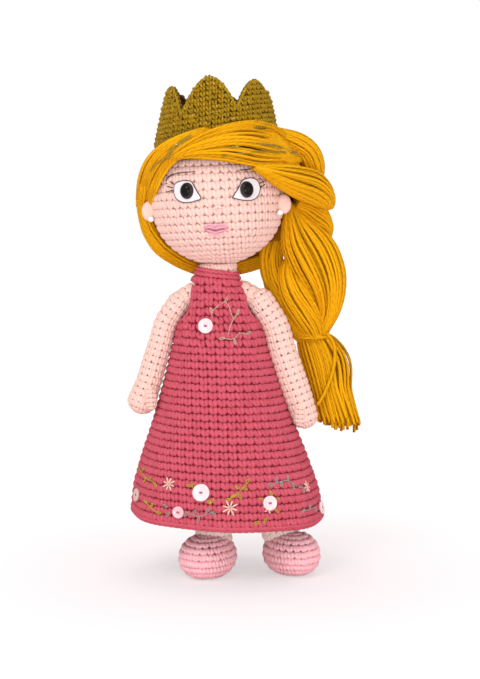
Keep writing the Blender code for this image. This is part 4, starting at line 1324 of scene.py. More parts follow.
@dataclass
class Figure:
    """The doll's body, arms, legs and shoes."""

    torso_rows: tuple[Row, ...] = (
        (1.0, 11.8), (0.92, 11.8), (0.85, 14.5), (0.76, 17.2), (0.59, 20.5),
        (0.38, 21.9), (0.16, 26.0), (0.0, 26.0),
    )
    yokes: tuple[tuple[Row, ...], ...] = (
        ((-8, -1, 175.6), (-2, -1.5, 174), (4.5, -2, 170.4)),
        ((-27, -1, 174.6), (-32.5, -1.5, 172.6), (-38.5, -2, 168.8)),
    )

    def torso(self) -> None:
        """Makes the body, worked where the neck and shoulders show."""
        low, high = 86 * MM, 192 * MM
        shares, halves = zip(*reversed(self.torso_rows))
        route = []
        for share in np.linspace(1, 0, 13):
            half = float(np.interp(share, shares, halves)) * MM
            deep = half * (0.82 + 0.18 * share**4)
            route.append((-9.5 * MM - share * 8 * MM, 0, low + share * (high - low), half, deep))
        form = Limb(route, 0.3, 0.6)
        shoulders = np.array(SHOULDERS)

        def shown(places: Points) -> Points:
            apart = [np.linalg.norm(places - shoulder, axis=-1) for shoulder in shoulders]
            return (places[:, 2] < 190 * MM) & (np.min(apart, axis=0) > 8.6 * MM)

        yokes = tuple(
            (Limb([(x * MM, y * MM, z * MM, 6.5 * MM, 6.3 * MM) for x, y, z in rows], 0.6, 0.6), FINE)
            for rows in self.yokes
        )
        Stuffed(
            "torso", Body.BODY, form, FINE, Finish.SKIN, Finish.BODY_LINING,
            keep=shown, first=0.02, last=0.98, extra=yokes, seed=42,
        ).build()

    def arm(self, side: Side) -> None:
        """Makes one arm with its hand and thumb."""
        if side is Side.RIGHT:
            xs, zs = (-41.0, -48.6, -52.2, -55.8, -59.4, -63.9), (167, 155.7, 143.4, 131.1, 118.8, 106.5)
            halves, hand, body = (7.0, 6.9, 7.2, 7.6, 7.8, 8.8), 8.8 * MM, Body.RIGHT_ARM
        else:
            xs, zs = (9.0, 17.6, 21.7, 26.3, 31.1, 36.1), (168, 154, 140, 126, 112, 96.8)
            halves, hand, body = (8, 8, 8.3, 8.6, 8.6, 8.0), 8.0 * MM, Body.LEFT_ARM
        route = [(x * MM, -3 * MM, z * MM, half * MM, half * MM) for x, z, half in zip(xs, zs, halves)]
        palm = np.array(route[-1][:3])
        aside, front, low = (0.68, 0.85, 7.2) if side is Side.RIGHT else (0.4, 0.75, 7.0)
        root = palm + np.array((-side.value * aside, -front, 0.75)) * hand
        tip = root + np.array((-side.value * 0.06, -0.1, -1.0)) * low * MM
        ends, middle = (3.2 * MM, 3.2 * MM), (3.5 * MM, 3.4 * MM)
        thumb = Limb([(*root, *ends), (*(root + tip) / 2, *middle), (*tip, *ends)])
        small = Stitch(3.2 * MM, 3.0 * MM, 0.85 * MM, 0.8 * MM, 0.6 * MM, swell=0.3 * MM)
        Stuffed(
            body.value, body, Limb(route, 1.0, 0.85), FINE,
            extra=((thumb, small),), seed=50 + side.value, shrink=3.7 * MM,
        ).build()

    def leg(self, side: Side, forward: float) -> None:
        """Makes one leg and its shoe."""
        body = Body.RIGHT_LEG if side is Side.RIGHT else Body.LEFT_LEG
        prefix = side.name.lower()
        hip = np.array((-9.5 + side.value * 14, 0, 70)) * MM
        foot = np.array((2.8 + side.value * 21.8, -forward, 14.2)) * MM
        knee = (hip + foot) / 2
        sizes = ((hip, 11.7), (knee, 11.7), (foot, 10.8))
        route = [(*place, half * MM, half * MM) for place, half in sizes]
        # The leg is worked in the skin yarn painted lighter, to offset the shade that the dress casts on it.
        Stuffed(
            prefix + "_leg", body, Limb(route), FINE, Finish.PALE,
            keep=lambda places: places[:, 2] > 16 * MM, seed=60 + side.value,
        ).build()
        turn_out = side.value * math.radians(20)
        middle = foot + np.array((math.sin(turn_out), -math.cos(turn_out), 0)) * 6.5 * MM
        middle[0] += (1.2 if side is Side.LEFT else -2.2) * MM
        middle[2] = 12.15 * MM

        def outside(places: Points) -> Points:
            apart = np.linalg.norm((places - foot)[:, :2], axis=-1)
            return (apart > 10.6 * MM) | (places[:, 2] < 12 * MM)

        shoe = Shoe(tuple(middle), turn_out)
        # The shoe's core is the shoe lining, darker than the shoe yarn as painted shade between the stitches.
        Stuffed(
            prefix + "_shoe", body, shoe, SHOE, Finish.PINK, Finish.PINK_LINING, "pink_yarn",
            first=0.03, last=0.93, keep=outside, seed=70 + side.value, shrink=2.3 * MM,
        ).build()

    def build(self) -> None:
        """Makes all of them."""
        self.torso()
        for side in Side:
            self.arm(side)
        self.leg(Side.RIGHT, 4.0)
        self.leg(Side.LEFT, -4.0)


# The head and face


@dataclass
class Head:
    """The head with its stitches, eyes, brows, lips, ears and pearls."""

    centre: Row = (-17.5 * MM, 0.0, 232 * MM)
    size: Row = (80.5 * MM, 76 * MM, 84 * MM)
    tilt: float = math.radians(-3)
    cheeks: float = 0.05
    oval: float = 1.16
    eyes: tuple[tuple[str, Row, tuple[Row, ...]], ...] = (
        ("right_eye", (187.0, 190.8), (
            (175.0, 188.0), (176.0, 184.6), (180.0, 182.0), (186, 181.0), (191.8, 182.0), (195.0, 187.0),
            (198.0, 192.6), (201.4, 198.2), (196.5, 200.6), (189.5, 202.2), (182.8, 201.9), (177.6, 198.8),
            (175.2, 193.5),
        )),
        ("left_eye", (246.6, 189.5), (
            (232.0, 197.6), (235.6, 192.0), (238.8, 186.6), (241.5, 181.2), (246.5, 178.8), (252.0, 178.6),
            (256.4, 181.0), (258.8, 186.4), (258.6, 192.0), (256.0, 197.2), (251.0, 200.0), (244.5, 200.2),
            (238.0, 199.2),
        )),
    )
    lashes: tuple[tuple[Row, ...], ...] = (
        ((173.6, 190.5), (170.8, 191.2), (167.4, 192.4)),
        ((173.4, 187.6), (170.6, 187.2), (167.6, 186.2)),
        ((174.4, 184.6), (172.4, 182.6), (170.6, 181.8)),
        ((257.6, 184.0), (261.2, 182.6), (264.6, 181.2)),
        ((258.6, 187.6), (262.0, 186.2), (264.4, 184.2)),
    )
    brows: tuple[tuple[Row, ...], ...] = (
        ((166.6, 182.0), (169.2, 177.4), (174.5, 174.6), (182, 173.0), (189, 172.6), (195.8, 171.8)),
        ((239.0, 170.8), (245, 170.2), (250.5, 169.6), (256.6, 169.2)),
    )
    lips: tuple[tuple[Row, ...], ...] = (
        ((204.4, 226.8), (208.4, 224.2), (212.0, 224.0), (215.0, 226.0)),
        ((205.4, 228.0), (209.2, 226.2), (212.2, 226.4), (215.0, 228.4)),
        ((215.0, 226.0), (218.4, 224.2), (222.6, 224.2), (228.0, 226.6)),
        ((215.0, 228.4), (218.6, 226.4), (222.6, 226.2), (226.8, 227.8)),
        ((206.4, 229.2), (210.6, 230.4), (215.4, 231.6), (220.6, 230.4), (225.6, 228.8)),
        ((209.0, 231.8), (212.4, 233.0), (216.0, 233.6), (220.0, 232.8), (223.2, 231.2)),
    )
    parting: tuple[Row, ...] = ((204.6, 227.6), (209.6, 228.8), (215.0, 229.9), (220.5, 228.9), (227.6, 227.5))
    nose: tuple[Row, ...] = ((214.6, 208.2), (218.0, 206.2), (221.4, 208.0))

    def build(self) -> None:
        """Makes the head and all that is on it."""
        self.skin = Skin.of_egg(Oval(self.centre, self.size, self.tilt, self.cheeks))
        self.ball()
        for name, pupil, outline in self.eyes:
            self.eye(name, pupil, outline)
        self.drawn_lines()
        self.mouth()
        for side in Side:
            self.ear(side)

    def ball(self) -> None:
        """Makes the stuffed head, worked where the hair leaves it open."""
        form = Oval(self.centre, self.size, self.tilt, self.cheeks)

        def shown(places: Points) -> Points:
            front = places[:, 1] < 4 * MM
            return (front & (places[:, 2] < 262 * MM)) | (places[:, 2] < 208 * MM)

        Stuffed("head", Body.BODY, form, FACE, keep=shown, first=0.04, last=0.985, seed=81).build()

    def eye(self, name: str, pupil: Row, outline: tuple[Row, ...]) -> None:
        """Makes one felt almond with its thread outline, and the domed eye on it."""
        felt = bmesh.new()
        count, sizes = 72, (1.0, 0.985, 0.8, 0.55, 0.3)
        closed = [*outline, outline[0]]
        rim = smooth(closed, np.linspace(0, 1, count + 1))
        middle = np.array(pupil)
        bmesh.ops.create_grid(felt, x_segments=count, y_segments=4, size=1)
        for vertex in felt.verts:
            inner = sizes[round((vertex.co.y + 1) * 2)]
            edge = rim[round((vertex.co.x + 1) / 2 * count)]
            lift = 0.5 * MM if inner == 1.0 else 1.1 * MM
            vertex.co = self.skin.seen(*(middle + (edge - middle) * inner), lift)[0]
        bmesh.ops.remove_doubles(felt, verts=felt.verts, dist=1e-6)
        bmesh.ops.recalc_face_normals(felt, faces=felt.faces)
        mesh = mesh_of(felt, name + "_felt", math.radians(30))
        white = piece(mesh, Finish.WHITE_FELT, "white_felt", (name + "_white",))
        wall = white.modifiers.new("wall", "SOLIDIFY")
        wall.thickness, wall.offset = 0.5 * MM, -1
        line = Skein(6, 60, seed=83)
        line.follow(self.skin, closed, 0.95 * MM, 0.3 * MM, 0.3 * MM)
        line.piece(name + "_outline", Finish.EYE_LINE, "lip_thread")
        self.dome(name, pupil)

    def dome(self, name: str, pupil: Row) -> None:
        """Makes the glossy domed eye on its post, behind its pixel."""
        low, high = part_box(name)
        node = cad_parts[name].data
        points = np.array([vertex.co for vertex in node.vertices])
        front = points[points[:, 1] < low.y + 5.5 * MM]
        middle = Vector(front.mean(axis=0))
        back = Vector(points[points[:, 1] > high.y - 1.5 * MM].mean(axis=0))
        out = (middle - back).normalized()
        seat = Vector(SIGHT.at(*pupil, (back + out * 11.5 * MM).y))
        stand = Matrix.Translation(seat) @ out.to_track_quat("Z", "Y").to_matrix().to_4x4()
        stand = stand @ Matrix.Diagonal((1, self.oval, 1, 1))
        radius, height = 4.15 * MM, 3.3 * MM
        arc = np.linspace(math.pi / 2, 0, 12)
        profile = [(radius * math.cos(angle), height * math.sin(angle)) for angle in arc]
        profile += [(radius * 0.97, -0.3 * MM), (1.7 * MM, -0.35 * MM), (1.7 * MM, -11.5 * MM), (0, -11.5 * MM)]
        piece(turned_mesh(name + "_dome", profile, stand, 48), Finish.EYE, "black_plastic", (name,))
        arc = np.linspace(0.72, 0.0, 7)
        outer = [(radius * math.cos(angle) * 1.012, height * math.sin(angle) * 1.03) for angle in arc]
        inner = [(radius * math.cos(angle) * 0.98, height * math.sin(angle) * 0.95) for angle in arc[::-1]]
        piece(turned_mesh(name + "_rim", [*outer, *inner, outer[0]], stand, 48), Finish.IRIS, "black_plastic")

    def drawn_lines(self) -> None:
        """Lays the lashes and brows, and the pinched stitch of the nose."""
        fine = Skein(6, 14, seed=84)
        taper = np.interp(np.linspace(0, 1, fine.rings), (0, 0.15, 0.8, 1), (0.7, 1, 0.9, 0.5)) * 0.3 * MM
        for pixels in self.lashes + self.brows:
            fine.follow(self.skin, pixels, 0.75 * MM, taper, taper)
        fine.piece("lashes_and_brows", Finish.EYE_LINE, "lip_thread")
        nose = Skein(8, 9, seed=85)
        nose.follow(self.skin, self.nose, 0.5 * MM, 0.9 * MM, 0.7 * MM)
        nose.piece("nose_stitch", Finish.SKIN, "skin_yarn")

    def mouth(self) -> None:
        """Lays the lips' strands and the darker line between them."""
        lips = Skein(8, 14, seed=86)
        taper = np.interp(np.linspace(0, 1, lips.rings), (0, 0.25, 0.75, 1), (0.5, 1, 1, 0.55))
        for pixels in self.lips:
            lips.follow(self.skin, pixels, 0.95 * MM, taper * 0.66 * MM, taper * 0.55 * MM)
        lips.piece("lip_strands", Finish.LIP, "lip_thread", ("lips",))
        line = Skein(6, 18, seed=87)
        line.follow(self.skin, self.parting, 1.1 * MM, 0.28 * MM, 0.28 * MM)
        line.piece("lip_line", Finish.LIP_LINE, "lip_thread")

    def ear(self, side: Side) -> None:
        """Makes one oval ear and the pearl at its lobe."""
        prefix = side.name.lower()
        low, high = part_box(prefix + "_ear")
        middle = (low + high) / 2
        shape = bmesh.new()
        bmesh.ops.create_uvsphere(shape, u_segments=28, v_segments=20, radius=0.5)
        size = Vector((9.2, 7.7, 12.0)) * MM
        place = Vector((high.x - size.x / 2 if side is Side.LEFT else low.x + size.x / 2, middle.y, middle.z))
        for vertex in shape.verts:
            x, y, z = vertex.co
            hollow = max(0.0, -y * 2) * math.exp(-((x * 3.2) ** 2 + ((z - 0.08) * 2.6) ** 2))
            vertex.co = Vector((x * size.x, (y + hollow * 0.16) * size.y, z * size.z)) + place
        ear = piece(mesh_of(shape, prefix + "_ear_oval"), Finish.SKIN, "skin_yarn", (prefix + "_ear",))
        low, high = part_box(prefix + "_earring")
        pearl = bmesh.new()
        bmesh.ops.create_uvsphere(pearl, u_segments=24, v_segments=16, radius=(high.x - low.x) / 2)
        bmesh.ops.translate(pearl, vec=(low + high) / 2, verts=pearl.verts)
        piece(mesh_of(pearl, prefix + "_pearl"), Finish.PEARL, "pearl", (prefix + "_earring",))


# The hair


@dataclass(frozen=True)
class Lock:
    """A bundle of strands along rows: column, row, depth in mm, half width in pixels, half depth in mm."""

    rows: tuple[Row, ...]
    twist: float = 0.0
    strand_half: float = 1.0 * MM
    layers: tuple[float, ...] = (1.0, 0.86, 0.66, 0.4)

    def lay(self, skein: Skein) -> None:
        """Lays the bundle's strands round its route, in layers from the outside in."""
        share = np.linspace(0, 1, skein.rings)
        table = smooth(self.rows, share)
        depth = table[:, 2] * MM
        centre = SIGHT.at(table[:, 0], table[:, 1], depth)
        along = unit(np.gradient(centre, axis=0))
        across = unit(np.cross(along, np.array((0.0, 1.0, 0.0))))
        deep = np.cross(across, along)
        scale = (depth - SIGHT.place[1]) / SIGHT.focal
        wide = np.maximum(table[:, 3] * scale - self.strand_half, 0.2 * MM)
        thick = np.maximum(table[:, 4] * MM - self.strand_half, 0.2 * MM)
        ratio = float(thick.mean() / wide.mean())
        fine = np.linspace(0, FULL_TURN, 361)
        steps = np.hypot(np.diff(np.cos(fine)), np.diff(np.sin(fine)) * ratio)
        reach = np.concatenate([[0], np.cumsum(steps)]) / steps.sum()
        girth = FULL_TURN * math.hypot(wide.max(), thick.max()) / math.sqrt(2)
        for layer, size in enumerate(self.layers):
            count = max(4, round(girth * size / (2 * self.strand_half)))
            place = (np.arange(count) + 0.5 * (layer % 2) + skein.chance.normal(0, 0.12, count)) / count
            sway = skein.chance.normal(0, 0.03, (count, 2))
            waves = sway[:, :1] * np.sin(share * 3 + sway[:, 1:] * 60) * 0.4
            angle = np.interp((place[:, None] + self.twist * share + waves) % 1, reach, fine)
            swell = size * (1 + skein.chance.normal(0, 0.055, (count, 1)))
            shift = np.cos(angle) * wide * swell
            lean = np.sin(angle) * thick * swell
            route = centre + shift[..., None] * across + lean[..., None] * deep
            out = unit(shift[..., None] * across + lean[..., None] * deep * 1.5)
            half = self.strand_half * (1 + skein.chance.normal(0, 0.07, (count, 1)))
            skein.lay(route, out, half, half * 0.92)


@dataclass(frozen=True)
class Fan:
    """Strands side by side between two edges, columns and rows of the picture, laid on what is under them."""

    upper: tuple[Row, ...]
    lower: tuple[Row, ...]
    strands: int
    strand_half: float = 1.0 * MM
    sunk: Row = (5.0 * MM, 5.0 * MM)

    def lay(self, skein: Skein, under: Skin, lift: float) -> None:
        """Lays the strands.

        Args:
            skein: Where the strands are laid.
            under: What they lie on.
            lift: How far their middles stand off it.
        """
        share = np.linspace(0, 1, skein.rings)
        top, bottom = smooth(self.upper, share), smooth(self.lower, share)
        place = (np.arange(self.strands) + 0.5) / self.strands
        place = place + skein.chance.normal(0, 0.1 / self.strands, self.strands)
        wave = skein.chance.normal(0, 1, (len(place), 2))
        drift = 0.6 / self.strands * wave[:, :1] * np.sin(share * 4 + wave[:, 1:] * 3)
        across = (place[:, None] + drift)[..., None]
        table = top * (1 - across) + bottom * across
        sunk = np.interp(share, (0, 0.1, 0.82, 1), (self.sunk[0], 0, 0, self.sunk[1]))
        uneven = skein.chance.uniform(-0.8, 0.8, (len(place), 1)) * MM
        depth = under.depths(table, 3) - lift + sunk + uneven
        route = SIGHT.at(table[..., 0], table[..., 1], depth)
        half = self.strand_half * (1 + skein.chance.normal(0, 0.06, (len(place), 1)))
        skein.lay(route, FORWARD, half, half * 0.95)


@dataclass
class Hair:
    """The golden yarn hair: the cap, the fringe, the side lock, the swoops and the plait with its tassel."""

    dome_centre: Row = DOME_CENTRE
    dome_half: Row = (48.05 * MM, 46 * MM, 50.2 * MM)
    temple: Fan = Fan(
        (
            (203, 128), (187, 132.5), (171, 139), (157, 148), (146.5, 160), (140, 175), (137.5, 190), (137, 206),
        ),
        (
            (224, 133), (207, 141), (192, 149), (179.5, 158.5), (169.5, 168), (162, 180), (157, 192), (152, 205),
        ),
        13,
        sunk=(5.0 * MM, 14.0 * MM),
    )
    fringe: Fan = Fan(
        (
            (167, 158), (178, 149), (191, 140), (208, 130.5), (230, 123), (254, 120.5), (274, 125), (288, 136),
            (299, 148),
        ),
        (
            (172, 161.5), (181, 158), (191, 157), (207, 158), (224, 160), (240, 164), (258, 167.5), (280, 166),
            (301, 162),
        ),
        14,
    )
    side: Lock = Lock(
        (
            (158, 165, -17, 6, 3), (149, 180, -5, 8, 5), (146, 190, 0, 9, 6), (144.5, 200, 7.5, 8.5, 7),
            (145.5, 212, 10, 8, 8), (148, 224, 12, 8, 8), (151.5, 233, 13, 8.5, 8), (160.5, 246, 15, 9, 8),
            (172.5, 256, 19, 8, 7), (187, 264.5, 24, 7, 7), (205, 270, 27, 7, 7), (232, 269, 28, 7, 7),
            (256, 263, 27, 7, 7), (275, 255, 24, 6, 6),
        ),
        twist=0.12,
    )
    swoop_back: Lock = Lock(
        (
            (268, 131, 4, 6, 6), (282.5, 137, 5, 9, 8), (295.5, 143.5, 6, 12, 9), (307.5, 152.5, 7, 12.5, 9),
            (313, 165, 8, 12, 8), (314, 177, 8, 10, 7), (312, 189, 8, 8, 6), (308, 199, 8, 5, 4),
        ),
        twist=0.1,
    )
    swoop_front: Lock = Lock(
        (
            (254, 167, -36, 3, 4), (267, 171, -32, 8, 7), (281, 176, -26, 13, 9), (297, 182, -18, 16.5, 10),
            (311, 188, -10, 17, 10), (322, 196, -4, 13, 9), (328, 204, 1, 7, 6),
        ),
        twist=0.08,
    )
    behind: Lock = Lock(
        ((276, 228, 20, 7, 7), (270, 248, 16, 9, 8), (268, 262, 15, 9, 8), (271, 280, 15, 8, 8), (281, 298, 15, 5, 6))
    )
    plait: tuple[Lock, ...] = (
        Lock(
            (
                (296, 202, 4, 8, 6), (308, 209, 7, 12, 8), (318, 218, 9, 12.5, 8), (326, 226, 11, 8, 7),
                (329, 235, 13, 3, 5),
            ),
            0.1,
        ),
        Lock(
            (
                (285, 225, 22, 6, 6), (277, 243, 19, 9, 8), (273, 260, 17, 11, 9), (275, 277, 15, 12.5, 10),
                (284, 297, 14, 15, 10), (296, 317, 14, 14, 9), (305, 331, 15, 13, 7), (310, 338, 16, 10, 6),
            ),
            0.1,
        ),
        Lock(
            (
                (290, 205, 4, 5, 5), (294, 221, 2, 13, 8), (301.5, 238, 2, 22.5, 10), (313, 256, 2, 26.5, 12),
                (323, 275, 4, 24, 12), (328, 292, 7, 18.5, 11), (328.5, 310, 11, 12.5, 9), (324, 326, 14, 8, 7),
                (321, 336, 15, 6, 6),
            ),
            -0.12,
        ),
        Lock(
            (
                (291, 258, 10, 5, 5), (289, 272, 7, 11, 8), (294, 291, 5, 15, 9), (304, 310, 7, 15.5, 9),
                (312, 326, 11, 13, 8), (315, 337, 13, 10, 6),
            ),
            0.1,
        ),
    )
    cords: tuple[tuple[Row, ...], ...] = (
        ((214, 152), (232, 147), (252, 144), (274, 145.5), (290, 150.5), (298, 153)),
        ((222, 156), (242, 153), (262, 151.5), (282, 152), (298, 154)),
        ((191, 135.5), (180, 142), (170, 150.5), (165, 158)),
        ((194, 138), (184, 142.5), (174, 150), (167.5, 160)),
        ((169, 155), (162, 160.5), (155, 165), (150, 172)),
    )
    tie_at: Row = (312.5, 336.0, 15.0)
    tassel_rows: tuple[Row, ...] = (
        (333, 313.5, 12, 6), (340, 317, 19, 8), (355, 323.5, 23, 10), (370, 327.5, 22.5, 11), (388, 330.5, 20, 11),
        (405, 335, 20.5, 11), (421.5, 340, 21, 11),
    )

    def build(self) -> None:
        """Makes all of the hair."""
        self.cap()
        self.front()
        self.swoops()
        self.braid()

    def cap(self) -> None:
        """Lays the strands that cover the skull, from the right side round to the plait."""
        # The cap's core is the golden lining, darker than the golden yarn as painted shade between the strands.
        core("hair_cap", Finish.GOLD_LINING, 1.6 * MM, "golden_yarn")
        skein = Skein(7, 26, seed=101)
        centre, half = np.array(self.dome_centre), np.array(self.dome_half) - 0.3 * MM
        angles = np.radians(np.linspace(-52, 158, 126))
        angles = angles + skein.chance.normal(0, 0.005, len(angles))
        turn = np.linspace(0.10, math.pi - 0.10, skein.rings)
        wave = skein.chance.normal(0, 0.01, (len(angles), 2))
        bend = angles[:, None] + wave[:, :1] * np.sin(turn * 2 + wave[:, 1:] * 90)
        x = -np.cos(turn) * half[0] + np.zeros_like(bend)
        y = np.sin(turn) * np.sin(bend) * half[1]
        z = np.sin(turn) * np.cos(bend) * half[2]
        flat = np.stack([x, y, z], -1) * (1 + skein.chance.normal(0, 0.005, (len(angles), 1, 1)))
        route = centre + flat
        keep = route[:, 13, 2] > 192 * MM
        out = unit(flat / half**2)
        thick = 1.25 * MM * (1 + skein.chance.normal(0, 0.06, (len(angles), 1)))
        skein.lay(route[keep], out[keep], thick[keep], thick[keep])
        skein.piece("hair_cap_strands", Finish.GOLD, "golden_yarn")

    def front(self) -> None:
        """Lays the fringe, the temple strands, the lurex cords among them and the side lock."""
        dome = Oval(self.dome_centre, [size * 2 for size in self.dome_half], math.radians(-9))
        under = Skin.of_nodes("hair_fringe", "side_lock", "crown", egg=dome)
        skein = Skein(7, 40, seed=102)
        for fan, lift in ((self.temple, 0.4), (self.temple, -1.2), (self.fringe, 2.3), (self.fringe, 0.6)):
            fan.lay(skein, under, lift * MM)
        skein.piece("fringe_strands", Finish.GOLD, "golden_yarn", ("hair_fringe",))
        side = Skein(7, 40, seed=103)
        self.side.lay(side)
        side.piece("side_lock_strands", Finish.GOLD, "golden_yarn", ("side_lock",))
        cord = Skein(6, 34, seed=104)
        for pixels in self.cords:
            rows = smooth(pixels, np.linspace(0, 1, cord.rings))[None]
            for shift in (-0.5, 0.5):
                found = rows + np.array((0, shift))
                depth = np.minimum(under.depths(found, 3), under.depths(found + np.array((0, 1)), 3)) - 2.9 * MM
                route = SIGHT.at(found[..., 0], found[..., 1], depth)
                cord.lay(route, FORWARD, 0.33 * MM, 0.33 * MM)
        cord.piece("lurex_cords", Finish.CORD, "golden_yarn")

    def swoops(self) -> None:
        """Lays the two thick strands that carry the hair to the plait."""
        skein = Skein(7, 22, seed=105)
        self.swoop_back.lay(skein)
        self.swoop_front.lay(skein)
        skein.piece("swoop_strands", Finish.GOLD, "golden_yarn", ("hair_swoop_upper", "hair_swoop_lower"))

    def braid(self) -> None:
        """Lays the plait's lobes, the tie's wraps and the tassel."""
        skein = Skein(7, 26, seed=106)
        for lock in (*self.plait, self.behind):
            lock.lay(skein)
        skein.piece("plait_strands", Finish.GOLD, "golden_yarn", ("braid",), Body.BRAID)
        self.tie()
        self.tassel()

    def tie(self) -> None:
        """Winds the yarn round the plait's narrow end."""
        middle = SIGHT.at(self.tie_at[0], self.tie_at[1], self.tie_at[2] * MM)
        wrap = Skein(8, 40, seed=107)
        turns = np.linspace(0, FULL_TURN, wrap.rings)
        for lift, radius, tip in ((1.6, 9.4, 0.12), (-0.4, 9.9, 0.02), (0.8, 10.1, -0.14)):
            x = np.cos(turns) * radius * MM
            y = np.sin(turns) * radius * 0.85 * MM
            route = middle + np.stack([x, y, lift * MM + tip * x], -1)
            wrap.lay(route[None], np.stack([x, y, x * 0], -1)[None], 1.15 * MM, 1.1 * MM)
        wrap.piece("tie_wraps", Finish.GOLD, "golden_yarn", ("hair_tie",), Body.BRAID)

    def tassel(self) -> None:
        """Hangs the loose cut ends below the tie."""
        skein = Skein(7, 20, seed=108)
        chance = skein.chance
        share = np.linspace(0, 1, skein.rings)[None]
        count = 150
        order = np.arange(count)[:, None]
        reach = np.sqrt((order + 0.5) / count)
        side, front = np.cos(order * GOLDEN_ANGLE) * reach, np.sin(order * GOLDEN_ANGLE) * reach
        end = 1 + chance.normal(0, 0.035, (count, 1)) + side * 0.03
        table = smooth(self.tassel_rows, np.minimum(share * end, 1.0))
        swing = chance.normal(0, 1.0, (count, 1)) * np.sin(share * math.pi * 1.4)
        u = table[..., 1] + side * table[..., 2] + swing
        v = table[..., 0] + np.maximum(share * end - 1, 0) * 92
        y = (17 + front * table[..., 3]) * MM
        route = SIGHT.at(u, v, y)
        out = unit(np.stack([side + 0 * share, front + 0 * share, np.zeros_like(u)], -1))
        half = 1.05 * MM * (1 + chance.normal(0, 0.06, (count, 1)))
        skein.lay(route, out, half, half * 0.95, blunt=0.15)
        loose = smooth(((327, 333), (334.5, 346), (333.5, 368), (326, 390), (317.5, 405)), share[0])
        route = SIGHT.at(loose[:, 0], loose[:, 1], np.full(skein.rings, 4.5 * MM))
        skein.lay(route[None], FORWARD, 1.15 * MM, 1.1 * MM, blunt=0.15)
        skein.piece("tassel_strands", Finish.GOLD, "golden_yarn", ("tassel",), Body.BRAID)
        loop = Skein(6, 30, seed=109)
        pixels = ((331, 337), (338, 341), (344.5, 348), (348.5, 357), (349.5, 366))
        row = smooth(pixels, np.linspace(0, 1, loop.rings))
        route = SIGHT.at(row[:, 0], row[:, 1], np.full(loop.rings, 11 * MM))
        loop.lay(route[None], FORWARD, 0.5 * MM, 0.5 * MM)
        loop.piece("tassel_lurex", Finish.CORD, "golden_yarn", (), Body.BRAID)


# The crown


class Circlet(Form):
    """The crown's wall, from the height of its tips down to its foot."""

    RADIUS = 37.5 * MM
    TOP_RADIUS = 30.5 * MM
    HEIGHT = 33 * MM
    BAND = 14.0 * MM
    REACH = 34.5 * MM
    LEAN = 0.17
    RISE = (0.912, -0.103, -0.069, 0.1)
    POINTS = 6
    TURN = math.radians(-7)
    TILT = math.radians(-9)
    CENTRE = DOME_CENTRE
    SEAT = 35.71 * MM

    def __init__(self, inset: float = 0.0) -> None:
        """Keeps how far inside the crown's outside the wall lies."""
        self.inset = inset
        self.turned = np.array(Matrix.Rotation(self.TILT, 3, "Y"))

    def top(self, turn: Points) -> Points:
        """The height of the crown's edge at turns about it."""
        part = np.abs(((turn - self.TURN) / FULL_TURN * self.POINTS + 0.5) % 1 - 0.5) * 2
        even, across, both, forward = self.RISE
        rise = even + across * np.sin(turn) + both * np.sin(turn) ** 2 + forward * np.cos(turn)
        return rise * (self.BAND + (self.HEIGHT - self.BAND) * (1 - part**2))

    def at(self, turn: Points, share: Points) -> Points:
        """The points at turns and shares."""
        height = (1 - np.asarray(share)) * self.REACH
        radius = self.RADIUS + (self.TOP_RADIUS - self.RADIUS) * height / self.HEIGHT - self.inset
        across = radius * np.sin(turn) + self.LEAN * height
        local = np.stack(np.broadcast_arrays(across, -radius * np.cos(turn), self.SEAT + height), -1)
        return np.array(self.CENTRE) + local @ self.turned.T

    def height_of(self, places: Points) -> tuple[Points, Points]:
        """The turns and heights of points on the wall."""
        local = (places - np.array(self.CENTRE)) @ self.turned
        height = local[:, 2] - self.SEAT
        return np.arctan2(local[:, 0] - self.LEAN * height, -local[:, 1]), height


@dataclass
class Crown:
    """The crocheted lurex crown with six rounded points."""

    stitch: Stitch = Stitch(3.7 * MM, 3.05 * MM, 0.9 * MM, 0.9 * MM, 0.9 * MM, swell=1.3 * MM, loose=0.14)

    def build(self) -> None:
        """Makes the wall, the stitches on both sides and the edge over the points."""
        # The crown's wall is the crown lining, darker than the lurex as painted shade between the stitches.
        core("crown", Finish.CROWN_LINING, 0.9 * MM, "old_gold_yarn", name="crown_wall")
        skein = Skein(6, 5, seed=121)
        outer, inner = Circlet(), Circlet(2.6 * MM)

        def under_edge(places: Points) -> Points:
            turn, height = outer.height_of(places)
            return height < outer.top(turn) - 0.6 * MM

        crochet(skein, outer, self.stitch, under_edge)
        crochet(skein, inner, self.stitch, under_edge, flip=-1.0)
        skein.piece("crown_stitches", Finish.CROWN, "old_gold_yarn")
        edge = Skein(7, 7, seed=122)
        turns = np.linspace(0, FULL_TURN, 721)
        middle = Circlet(1.3 * MM)
        share = 1 - (outer.top(turns) - 0.2 * MM) / outer.REACH
        for inset in (0.5 * MM, -0.6 * MM):
            route, out = middle.lifted(turns, share, inset)
            chain(edge, route, out, 3.0 * MM, 0.95 * MM, 0.9 * MM)
        route, out = outer.lifted(turns, 0.985, -0.6 * MM)
        chain(edge, route, out, 3.2 * MM, 1.0 * MM, 1.0 * MM)
        edge.piece("crown_edge", Finish.CROWN, "old_gold_yarn")


# The studio


